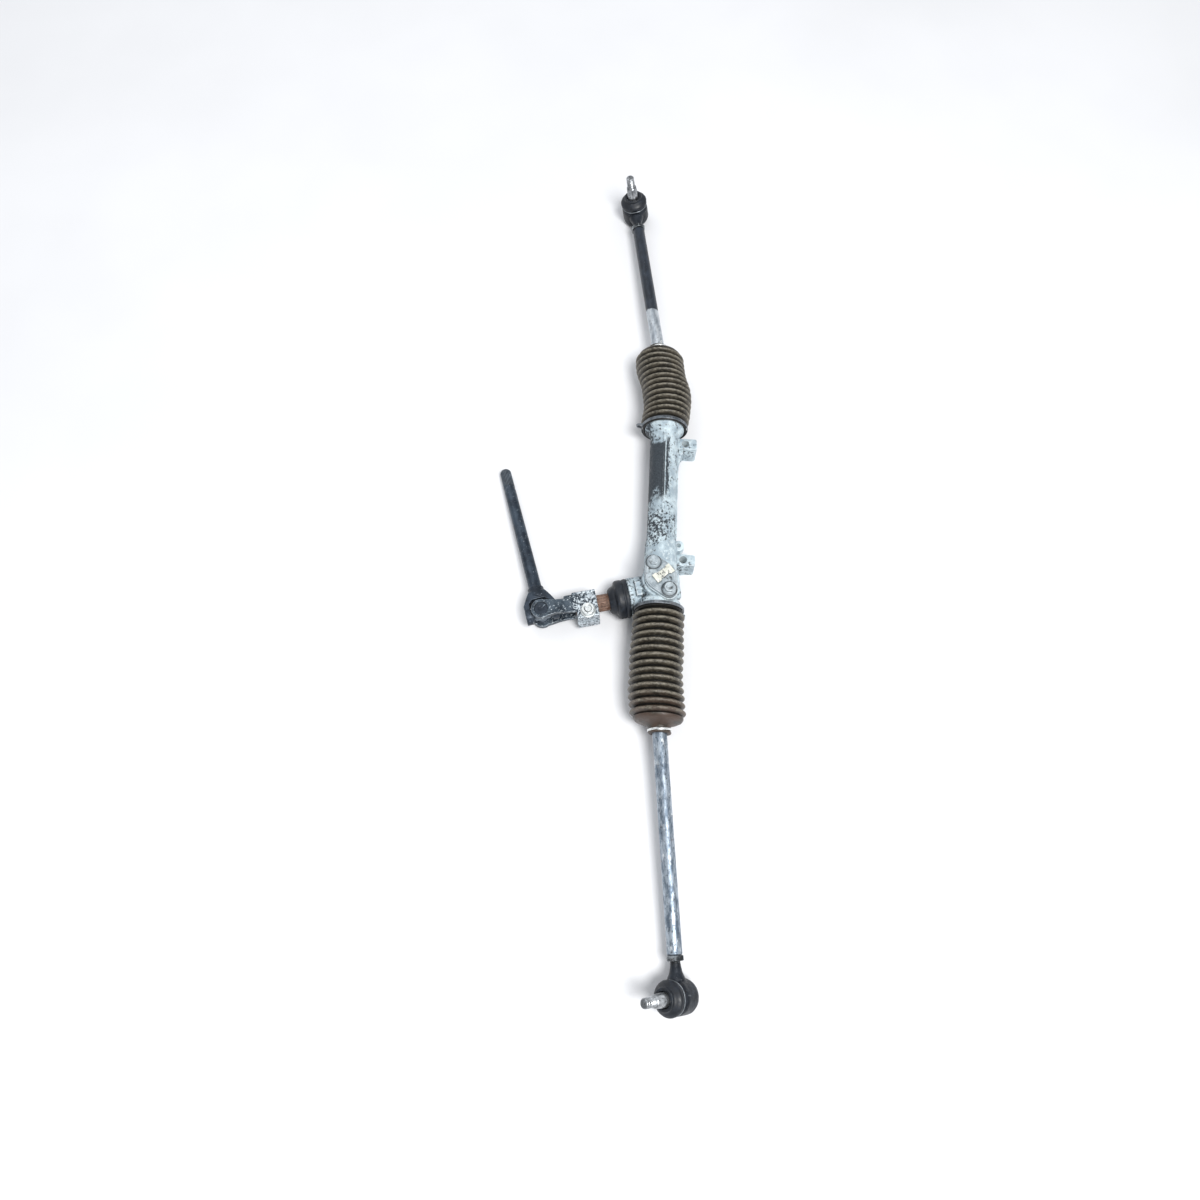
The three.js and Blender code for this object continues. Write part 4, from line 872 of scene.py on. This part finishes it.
def make_inner_pieces():
    """Hidden pieces keep their CAD shape; round ones are turned again with true edges."""
    rounds = [
        ("rack_bush", RACK, "housing", "polymer",
         [(-197.7, 11.3), (-197.7, 13.7), (-179, 13.7), (-179, 11.3)]),
        ("pinion_needle_bush", PINION, "housing", "bronze",
         [(-20.3, 5.3), (-20.3, 8), (-12.3, 8), (-12.3, 5.3)]),
        ("pinion_oil_seal", PINION, "housing", "black_rubber",
         [(37, 11.5), (37, 16), (44, 16), (44, 13), (41, 12.4), (40, 10.0), (39.2, 10.0), (38.6, 12)]),
        ("pinion_bearing_outer_ring", PINION, "housing", "bearing_steel",
         [(15, 14.85), (15, 16), (22, 16), (22, 14.85), (20, 14.85), (18.5, 15.05), (17, 14.85)]),
        ("pinion_bearing_inner_ring", PINION, "pinion", "bearing_steel",
         [(15, 10), (15, 11.15), (17, 11.15), (18.5, 10.95), (20, 11.15), (22, 11.15), (22, 10)]),
    ]
    for node, place, body, material, profile in rounds:
        piece = turned(f"{node}_turned", place, profile, segments=96, fillet=0.25)
        dressed(piece, body, material, nodes=[node])
    kept = {"rack_guide": "bronze", "guide_spring": "spring_steel", "pinion_circlip": "spring_steel",
            "rack_bar": "bearing_steel", "pinion_bearing_balls": "bearing_steel",
            "joint_cross": "dark_steel"}
    for node, material in kept.items():
        obj = frame["nodes"][node]
        obj.data.materials.clear()
        obj.data.materials.append(MATERIALS[material])
        obj.data.shade_smooth()
        obj.data.set_sharp_from_angle(angle=math.radians(32))


# ---- pinion shaft and universal joint ----------------------------------------------------------
def make_pinion_shaft():
    node = frame["nodes"]["pinion_shaft"]
    node.data.materials.clear()
    node.data.materials.append(MATERIALS["bearing_steel"])
    profile = [(57.2, 6.2), (57.2, 9.35), (58, 9.45), (75.6, 9.45), (77.2, 6.7), (86, 6.7), (87.6, 9.45),
               (93, 9.45), (94.2, 8.6), (94.2, 6.2)]
    spline = turned("pinion_spline", PINION, profile, segments=180, fillet=0.2, refine=(57, 94, 1.5),
                    shape=splined(30, 0.55, 58.5, 93.5, 8.9))
    dressed(spline, "pinion", "rusty_steel")
    node.data.shade_smooth()
    node.data.set_sharp_from_angle(angle=math.radians(32))
    node.data.materials[0] = MATERIALS["rusty_steel"]


def side_prism(outline_xz, start, end):
    """An outline given as (along X, up Z), pushed across Y."""
    return prism_arrays([(z, x) for x, z in outline_xz], start, end, "y")


def limited(name, place, first, second):
    """What two bodies have in common, as arrays in place's millimetres."""
    a = make_object(name, placed(first[0], place), first[1])
    b = make_object(f"{name}_limit", placed(second[0], place), second[1])
    boolean = a.modifiers.new("limit", "BOOLEAN")
    boolean.operation = "INTERSECT"
    boolean.solver = "MANIFOLD"
    boolean.object = b
    applied(a)
    inverse = np.array(place.inverted())
    spots = np.array([tuple(v.co) for v in a.data.vertices])
    spots = (spots @ inverse[:3, :3].T + inverse[:3, 3]) / MM
    faces = [tuple(p.vertices) for p in a.data.polygons]
    for obj in (a, b):
        bpy.data.objects.remove(obj)
    return spots, faces


def clamp_yoke_arrays():
    centre = (YOKE_PIN.translation - PINION.translation).length / MM
    bend = [(19.5, -13.5), (19.5, -0.6), (17.5, 0.4), (17.5, 13.5)]
    bend += circle(8, 8, 90, 90, (-4.5, 5.5)) + circle(8, 8, 180, 90, (-4.5, -5.5))
    hub = prism_arrays(bend, 70, 94, "x")
    wall = block_arrays((88, 105), (-12, -8), (-10.5, 10.5))
    throat = block_arrays((90, 102), (-11.5, -5.5), (-11, 11))
    arms = []
    for side in (1, -1):
        outline = [(89, 8.6), (107.4, 9.2), (113.9, 11.3), (centre + 12, 11.3), (centre + 12, 17.8),
                   (117, 17.8), (105, 13.5), (89, 13.5)]
        arm = side_prism([(x, side * z) for x, z in outline], -12, 12)
        waist = [(86, -8.9), (centre - 16, -7.8), (centre - 8, -9.2)]
        waist += circle(10.8, 24, -120, 240, (centre, 0))
        waist += [(centre - 8, 9.2), (centre - 16, 7.8), (86, 8.9)]
        arms.append(limited("arm", PINION, arm, prism_arrays(waist, -30, 30)))
    rim = [prism_arrays(circle(2.0, 12, 0, 360, (-11.2, side * 12.2)), 70, 96, "x") for side in (1, -1)]
    return [hub, wall, throat, *arms, *rim], centre


def make_clamp_yoke():
    arrays, centre = clamp_yoke_arrays()
    yoke = fused("pinion_clamp_yoke", PINION, arrays, 0.45, rounds=4, waviness=0.18, wave_size=6)
    cutters = [bar_arrays(60, 102, 9.6), block_arrays((60, 100), (4, 30), (-1.6, 1.6)),
               upright(bar_arrays(-30, 30, 4.2), *PINCH), upright(bar_arrays(-30, 30, 7.7), centre, 0),
               *[upright(bar_arrays(low, high, 8.6), *PINCH) for low, high in ((-16, -13.5), (13.5, 16))]]
    for cutter in cutters:
        cut_by(yoke, cutter, PINION)
    dressed(yoke, "pinion", "clamp_steel", ["clamp_yoke"])


def make_pinch_bolt():
    """Flange bolt from below with its flange nut on top."""
    spot = PINION @ Matrix.Translation((PINCH[0] * MM, PINCH[1] * MM, 0)) @ AXIS_TO_Z
    bolt = turned("pinch_bolt_turned", spot, [
        (-18.7, 0), (-18.7, 5.6), (-18, 6.9), (-14.7, 6.9), (-14.6, 8), (-13.8, 8), (-13.8, 3.9),
        (20.6, 3.9), (21.8, 3.1), (21.8, 0)], segments=96, fillet=0.3, refine=(12.5, 21.5, 0.2),
        shape=lambda x, r, a: threaded(1.25, 0.6, 13, 22.1, 3)(x, hexagonal(12, -18.8, -14.65)(x, r, a), a))
    dressed(bolt, "pinion", "zinc_steel", nodes=["pinch_bolt"])
    nut = turned("pinch_nut_turned", spot, [
        (13.8, 4.2), (13.8, 8.4), (14.8, 8.4), (15.3, 7.5), (19.3, 7.5), (20.3, 6.6), (20.3, 4.2)],
        segments=96,
        fillet=0.3, shape=hexagonal(13, 15.25, 20.4))
    dressed(nut, "pinion", "zinc_steel", nodes=["pinch_nut"])


def make_bearing_cups():
    profile = [(17.0, 0), (17.0, 2.6), (17.4, 3.2), (17.4, 6.8), (16.8, 7.5), (9.5, 7.5), (9.5, 5.3),
               (15.8, 5.3), (15.8, 0)]
    up = YOKE_PIN @ AXIS_TO_Z
    across = SHAFT @ Matrix.Rotation(math.radians(-90), 4, "X") @ AXIS_TO_Z
    half_turn = Matrix.Rotation(math.pi, 4, "Y")
    for node, place, body in (
        ("bearing_cup_upper", up, "pinion"), ("bearing_cup_lower", up @ half_turn, "pinion"),
        ("bearing_cup_outer", across, "intermediate"),
        ("bearing_cup_inner", across @ half_turn, "intermediate"),
    ):
        cup = turned(f"{node}_turned", place, profile, segments=72, fillet=0.25)
        dressed(cup, body, "dark_steel", [node])


def make_shaft_yoke():
    fork = [(-10.8, 11.3), (12, 11.3), (16, 7), (16, -7), (12, -11.3), (-10.8, -11.3), (-10.8, -17.8),
            (10, -17.8), (19, -13), (25, -9), (25, 9), (19, 13), (10, 17.8), (-10.8, 17.8)]
    side = circle(9.5, 24, 50, 260) + [(6, -7.4), (16, -7.8), (26, -8.8), (26, 8.8), (16, 7.8), (6, 7.4)]
    forked = limited("fork", SHAFT, prism_arrays(fork, -14, 14), side_prism(side, -30, 30))
    collar = turned_arrays([(19, 0), (19, 9.4), (21, 9.8), (25, 9.8), (28, 9.0), (32, 8.8), (32, 0)],
                           72, 1.0)
    yoke = fused("intermediate_yoke", SHAFT, [forked, collar], 0.45, rounds=4, waviness=0.15, wave_size=6)
    cross_hole = moved(bar_arrays(-30, 30, 7.7), (0, 0, 0), Matrix.Rotation(math.radians(90), 4, "Z"))
    for cutter in (bar_arrays(17.7, 34, 7.6), cross_hole):
        cut_by(yoke, cutter, SHAFT)
    dressed(yoke, "intermediate", "dark_steel", nodes=["shaft_yoke"])


def make_intermediate_shaft():
    shaft = turned("intermediate_shaft_turned", SHAFT, [
        (18, 0), (18, 6.7), (18.6, 7.3), (163, 6.6), (166.5, 6.2), (167.5, 6.5), (190.5, 6.4), (193, 4.6),
        (193, 0)],
        segments=144, fillet=0.4, refine=(166, 193, 1.2), shape=splined(24, 0.7, 168, 191, 5))
    dressed(shaft, "intermediate", "shaft_steel", ["intermediate_shaft"])


# ---- tie rods and their joints -----------------------------------------------------------------
def arc_rows(radius, start, end, steps):
    angles = [math.radians(start + (end - start) * i / steps) for i in range(steps + 1)]
    return [(radius * math.cos(a), abs(radius * math.sin(a)) if abs(math.sin(a)) > 1e-6 else 0.0)
            for a in angles]


def flattened(half_width, start, end):
    """Two spanner flats across a round body."""
    def shape(along, radii, angles):
        if not start <= along <= end:
            return radii
        return np.minimum(radii, half_width / np.maximum(np.abs(np.cos(angles)), 1e-3))
    return shape


def make_inner_joint(side):
    place = socket_frame(side)
    mouth = [(9.5, 12.3), *arc_rows(11.3, 61, 68, 3)]
    profile = [(-36, 0), (-36, 5.4), (-35.2, 6), (-20, 6), (-20, 15.5), (-18.5, 17), (5, 17), (7, 16.6),
               (9.5, 14.2), *mouth, *arc_rows(14.2, 68, 180, 22)]
    socket = turned(f"{side}_inner_socket_turned", place, profile, segments=96, fillet=0.4,
                    shape=flattened(15.8, -20.5, -10), refine=(-20, 5, 1.5))
    dressed(socket, "rack", "rod_steel", nodes=[f"{side}_inner_socket"])
    washer = turned(f"{side}_lock_washer_turned", place,
                    [(-22.3, 6.3), (-22.3, 15.2), (-20.3, 15.2), (-20.3, 6.3)],
                    segments=72, fillet=0.3)
    dressed(washer, "rack", "rod_steel", nodes=[f"{side}_lock_washer"])
    swing = local_frame(place.translation, joint_axis(f"{side}_rod_lift").cross(UP), UP)
    seat_rows = [*arc_rows(13.5, 180, 91, 14), *arc_rows(11.3, 91, 180, 14)]
    seat = turned(f"{side}_inner_seat_moulded", swing, seat_rows, segments=64, fillet=0.05)
    dressed(seat, f"{side}_inner_seat", "polymer", nodes=[f"{side}_inner_ball_seat"])


def make_tie_rod(side):
    place = rod_frame(side)
    rows = [*arc_rows(11, 180, 31, 22), (20, 5.5), (27, 7.5), (ROD_FACE - 1, 7.5), (ROD_FACE, 6.7),
            (ROD_FACE, 5.3), (ROD_FACE - 19, 5.3), (ROD_FACE - 19, 0)]
    rod = turned(f"{side}_tie_rod_turned", place, rows, segments=96, fillet=0.4)
    dressed(rod, f"{side}_rod", "rod_steel" if side == "near" else "far_rod",
            [f"{side}_tie_rod"])
    start = ROD_FACE + 0.3
    nut = turned(f"{side}_lock_nut_turned", place, [
        (start, 5.3), (start, 8.0), (start + 0.6, 9.2), (start + 4.4, 9.2), (start + 5, 8.0),
        (start + 5, 5.3)],
        segments=96, fillet=0.25, shape=hexagonal(16, start - 0.1, start + 5.1))
    dressed(nut, f"{side}_rod", "nut_steel", [f"{side}_lock_nut"])


def make_rod_end(side):
    place = stud_frame(side)
    body = f"{side}_rod"
    tip = ROD_FACE - 18 - ROD_LENGTH
    cup = turned_arrays([(-15, 0), (-15, 13.6), (-13.5, 15.2), (-10, 16.5), (4.5, 16.5), (6.5, 15.6),
                         (9, 14.4), (9, 0)],
                        96, 0.8)
    shank = turned_arrays([(-31, 0), (-31, 5), (-27, 5.4), (-22, 6.4), (-17, 8.6), (-10, 9.6), (0, 10),
                           (0, 0)], 72, 0.8)
    rod_end = fused(f"{side}_rod_end_forging", place, [upright(cup), shank], 0.5, 4, 0.15, 6)
    cavity = turned_arrays([(-18, 0), (-18, 13.2), (0, 13.2), *arc_rows(13.2, 88, 70, 4),
                            *arc_rows(10.3, 68, 60, 2), (9, 10.5), (12, 11.8), (12, 0)], 72, 0.01)
    cut_by(rod_end, upright(cavity), place)
    dressed(rod_end, body, "rod_end_steel", nodes=[f"{side}_rod_end"])
    thread = turned(f"{side}_rod_end_thread", place,
                    [(tip, 0), (tip, 4.3), (tip + 1, 5), (-30, 5), (-29.5, 4.6), (-29.5, 0)],
                    segments=96, fillet=0.3, refine=(tip, -30, 0.25),
                    shape=threaded(1.5, 0.7, tip + 0.5, -30.5, 4))
    dressed(thread, body, "rod_end_steel")
    up = place @ AXIS_TO_Z
    cap = turned(f"{side}_rod_end_cap_pressed", up, [
        (-14.8, 0), (-14.6, 5), (-14.9, 6), (-14.7, 11.3), (-13.8, 12.6), (-12.8, 12.6), (-12.8, 0)],
        segments=72)
    dressed(cap, body, "rod_end_steel", [f"{side}_rod_end_cap"])
    seat = turned(f"{side}_outer_seat_moulded", up,
                  [*arc_rows(12.5, 180, 91, 14), *arc_rows(10.3, 91, 180, 14)],
                  segments=64, fillet=0.05)
    dressed(seat, f"{side}_outer_seat", "polymer", nodes=[f"{side}_outer_ball_seat"])


def make_stud(side):
    place = stud_frame(side) @ AXIS_TO_Z
    rows = [*arc_rows(10, 180, 36, 22), (13, 5.75), (17.5, 7.3), (37.6, 6.05), (38.6, 4.8), (39.4, 4.95),
            (51.8, 4.95), (53, 3.9), (53, 0)]
    stud = turned(f"{side}_ball_stud_turned", place, rows, segments=96, fillet=0.35,
                  refine=(39.4, 51.6, 0.2),
                  shape=threaded(1.25, 0.65, 39.6, 52.2, 4))
    across = moved(bar_arrays(-10, 10, 1.6, 32), (48.5, 0, 0), Matrix.Rotation(math.radians(90), 4, "Z"))
    cut_by(stud, across, place)
    dressed(stud, f"{side}_stud", "stud_steel", nodes=[f"{side}_ball_stud"])


def make_dust_boot(side):
    place = stud_frame(side) @ AXIS_TO_Z
    profile = [(9.4, 13.0), (9.4, 15.0), (10, 15.4), (11.6, 15.3), (12.4, 16.1), (13.4, 16.7), (15, 16.8),
               (16.8, 15.9), (18.4, 14.2), (19.4, 12.6), (20.3, 11.4), (21.4, 10.8), (22.2, 11.1),
               (23.2, 10.8), (23.6, 9.8), (23.4, 7.9), (21.6, 7.7), (19.6, 8.8), (18.4, 11.2), (17, 12.8),
               (15, 14.4), (13.4, 14.3), (12, 13.2)]
    boot = turned(f"{side}_dust_boot_moulded", place, profile, segments=96, fillet=0.5)
    dressed(boot, None, "black_rubber", nodes=[f"{side}_dust_boot"])
    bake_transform(boot)
    ring = turned(f"{side}_dust_boot_ring_wire", place,
                  [(9.9, 15.5), (9.9, 16.5), (11.4, 16.5), (11.4, 15.5)],
                  segments=96, fillet=0.5)
    dressed(ring, f"{side}_rod", "spring_steel", nodes=[f"{side}_dust_boot_ring"])


# ---- bellows -----------------------------------------------------------------------------------
BELLOWS = {
    "near": {"start": 22, "length": 139, "rings": 14, "crest": (27.6, 30.0), "depth": 5.4,
             "sway": (-1.2, 0.5), "bends": (104, 118)},
    "far": {"start": -198, "length": 119, "rings": 13, "crest": (27.4, 29.4), "depth": 5.0,
            "sway": (2.6, 1.0), "bends": (62, 80)},
}
RING_ROWS = 14
WALL = 1.5


def bellows_centre(side, x):
    """Where the sleeve's middle lies, in mm across and up, x mm out from its clamp."""
    size = BELLOWS[side]
    ball = abs(joint_position(f"{side}_rod_swing").x - RACK_ORIGIN.x) / MM - abs(size["start"])
    rod = rod_frame(side).to_3x3() @ Vector((1, 0, 0))
    outward = abs(rod.x)
    past = max(0.0, x - ball)
    ease = past * past / (past + 6)
    end_past = size["length"] - ball
    scale = past and ease + (end_past - end_past ** 2 / (end_past + 6)) * (past / end_past) ** 2
    reach, waves = size["sway"]
    share = min(1.0, max(0.0, (x - 8) / (size["length"] - 16)))
    sway = reach * math.sin(2 * math.pi * waves * share)
    return scale * rod.y / outward + sway, scale * rod.z / outward


def bellows_rows(side):
    """(x, outer radius, inner radius, crest share) from the clamp end to the small end."""
    size = BELLOWS[side]
    first, last, count = 8.5, size["length"] - 17, size["rings"]
    rows = [(1.2, 25.2, 23.8, 0.1), (1.7, 25.7, 23.8, 0.1), (5.8, 25.7, 23.8, 0.1), (6.6, 25.9, 23.8, 0.2),
            (7.6, 24.6, 22.4, 0.1)]
    for i in range(count * RING_ROWS + 1):
        turn = i / RING_ROWS
        share = turn / count
        crest = size["crest"][0] + (size["crest"][1] - size["crest"][0]) * share ** 0.7
        crest += 0.35 * math.sin(5.1 * math.floor(min(turn, count - 0.01)) + 1.3)
        rise = (0.5 - 0.5 * math.cos(2 * math.pi * turn)) ** 0.62
        outer = crest - size["depth"] * (1 - rise)
        rows.append((first + (last - first) * share, outer, outer - WALL - 0.5 * (1 - rise), rise))
    end = size["length"]
    tail = [(0.8, -0.6, 0.5), (2.5, -0.9, 0.6), (4.5, -2.6, 0.7), (6.2, -6.5, 0.6), (7.6, -11.5, 0.55)]
    for step, drop, share in tail:
        outer = size["crest"][1] - size["depth"] * 0.55 + drop
        rows.append((last + step, outer, outer - 1.8, share))
    rows += [(last + 9.2, 12.6, 10.4, 0.5), (end - 6.4, 11.6, 7.75, 0.6), (end - 5.2, 11.4, 7.7, 0.6),
             (end - 2.4, 11.4, 7.7, 0.6), (end - 1.6, 12.2, 7.7, 0.7), (end - 0.5, 12.1, 7.7, 0.7),
             (end, 11.4, 7.9, 0.5)]
    return rows


def bellows_piece(side, name, rows, segments=112):
    """One stretch of the sleeve as a closed shell with its inside."""
    outward = 1 if side == "near" else -1
    points, crests = [], []
    ordered = [(x, outer, share) for x, outer, _, share in rows]
    ordered += [(x, inner, share * 0.4) for x, _, inner, share in reversed(rows)]
    for x, radius, share in ordered:
        across, up = bellows_centre(side, x)
        for k in range(segments):
            angle = 2 * math.pi * k / segments
            sag = 1 + 0.008 * math.sin(2 * angle + x * 0.05) + 0.006 * math.sin(3 * angle - x * 0.11)
            grip = radius * (sag if 9 < x < BELLOWS[side]["length"] - 12 else 1)
            points.append((BELLOWS[side]["start"] + outward * x, across + grip * math.cos(angle),
                           up + grip * math.sin(angle)))
            crests.append(share)
    faces = []
    loops = len(ordered)
    for i in range(loops):
        j = (i + 1) % loops
        for k in range(segments):
            n = (k + 1) % segments
            faces.append((i * segments + k, i * segments + n, j * segments + n, j * segments + k))
    piece = make_object(name, placed(points, RACK), faces, sharp=60)
    crest = piece.data.attributes.new("crest", "FLOAT", "POINT")
    crest.data.foreach_set("value", crests)
    return piece


def make_bellows(side):
    """Three stretches of the sleeve, split at the bends; none is attached to a body."""
    rows = bellows_rows(side)
    size = BELLOWS[side]
    splits = [0, *size["bends"], size["length"]]
    stages = [("housing", "rack"), ("rack", f"{side}_inner_seat"), (f"{side}_inner_seat", f"{side}_rod")]
    cut_rows = [min(range(len(rows)), key=lambda i, s=split: abs(rows[i][0] - s)) for split in splits]
    for number, (bodies, a, b) in enumerate(zip(stages, cut_rows, cut_rows[1:])):
        piece = bellows_piece(side, f"{side}_bellows_{number + 1}", rows[a:b + 1])
        dressed(piece, None, "bellows_rubber", nodes=[f"{side}_bellows"])
        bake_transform(piece)


def make_boot_clamp(side):
    """Flat band with a pinched ear, on the housing end of the bellows."""
    outward = 1 if side == "near" else -1
    start = BELLOWS[side]["start"]
    turn = math.radians(-120 if side == "near" else 80)
    place = RACK @ Matrix.Translation((start * MM, 0, 0)) @ Matrix.Rotation(turn, 4, "X")
    low, high = sorted((outward * 1.8, outward * 5.4))
    band = turned_arrays([(low, 26.4), (low, 27.3), (high, 27.3), (high, 26.4)], 96, 0.25)
    ear_line = [(-4.2, 26.9), (-3.4, 29.6), (-2.6, 32.6), (-1.0, 33.6), (1.0, 33.6), (2.6, 32.6),
                (3.4, 29.6), (4.2, 26.9), (3.2, 26.7), (2.2, 29.2), (1.5, 31.6), (0.6, 32.5), (-0.6, 32.5),
                (-1.5, 31.6), (-2.2, 29.2), (-3.2, 26.7)]
    ear = prism_arrays(ear_line, low + 0.4, high - 0.4, "x")
    clamp = fused(f"{side}_boot_clamp_band", place, [band, ear], 0.35, 2)
    dressed(clamp, "housing", "spring_steel", nodes=[f"{side}_boot_clamp"])


def make_boot_clip(side):
    """Two turns of wire round the small end, with twisted tails."""
    ball = abs(joint_position(f"{side}_rod_swing").x - RACK_ORIGIN.x) / MM - abs(BELLOWS[side]["start"])
    middle = (BELLOWS[side]["length"] - ball - 3.8) / abs((rod_frame(side).to_3x3() @ Vector((1, 0, 0))).x)
    route = []
    for i in range(97):
        angle = math.radians(100) + 2 * math.pi * 2 * i / 96
        route.append((middle - 0.9 + 1.8 * i / 96, 12.1 * math.cos(angle), 12.1 * math.sin(angle)))
    tail = [(middle + 0.9 + 0.5 * math.cos(t * 2.4), -2.1 - 0.9 * math.sin(t * 2.4) * 0.5,
             12.4 + t * 0.9) for t in range(1, 8)]
    clip = tube(f"{side}_boot_clip_wire", rod_frame(side), route + tail, 0.8)
    dressed(clip, f"{side}_rod", "zinc_steel", [f"{side}_boot_clip"])


# ---- stage -------------------------------------------------------------------------------------
def make_floor():
    bpy.ops.mesh.primitive_plane_add(size=14, location=(0, 0, 0))
    floor = bpy.context.object
    floor.name = "floor"
    floor.data.materials.append(floor_paint())


def add_light(name, location, target, size, power, color=(1, 1, 1)):
    data = bpy.data.lights.new(name, "AREA")
    data.shape = "DISK"
    data.size = size
    data.energy = power
    data.color = color
    light = bpy.data.objects.new(name, data)
    light.location = location
    light.rotation_euler = (Vector(target) - Vector(location)).to_track_quat("-Z", "Y").to_euler()
    bpy.context.scene.collection.objects.link(light)


def make_lights():
    world = bpy.data.worlds.new("studio")
    world.use_nodes = True
    world.node_tree.nodes["Background"].inputs["Color"].default_value = (0.93, 0.96, 1.0, 1)
    world.node_tree.nodes["Background"].inputs["Strength"].default_value = 0.55
    bpy.context.scene.world = world
    add_light("key", (0.9, 0.7, 2.4), (0, 0, 0), 1.0, 62)
    add_light("fill", (-1.2, -1.0, 2.0), (0, 0, 0), 2.0, 12, (0.95, 0.97, 1.0))


def make_camera():
    """The photographer's eye height, above the near end, looking down the gear."""
    data = bpy.data.cameras.new("camera")
    data.sensor_width = 36
    data.lens = 27
    data.clip_start = 0.01
    camera = bpy.data.objects.new("camera", data)
    camera.location = FLOOR_ORIGIN + Vector((0.3678, -0.0463, 0.950))
    look = Vector((-0.3579, -0.0185, -0.9336))
    camera.rotation_euler = look.to_track_quat("-Z", "Y").to_euler()
    bpy.context.scene.collection.objects.link(camera)
    bpy.context.scene.camera = camera
    bpy.context.scene.view_settings.view_transform = "Standard"


# ---- everything --------------------------------------------------------------------------------
make_camera()
make_lights()
make_floor()
make_housing()
make_cover()
make_label()
make_dust_cap()
make_inner_pieces()
make_pinion_shaft()
make_clamp_yoke()
make_pinch_bolt()
make_bearing_cups()
make_shaft_yoke()
make_intermediate_shaft()
for side_name in SIDES:
    make_inner_joint(side_name)
    make_tie_rod(side_name)
    make_rod_end(side_name)
    make_stud(side_name)
    make_dust_boot(side_name)
    make_bellows(side_name)
    make_boot_clamp(side_name)
    make_boot_clip(side_name)
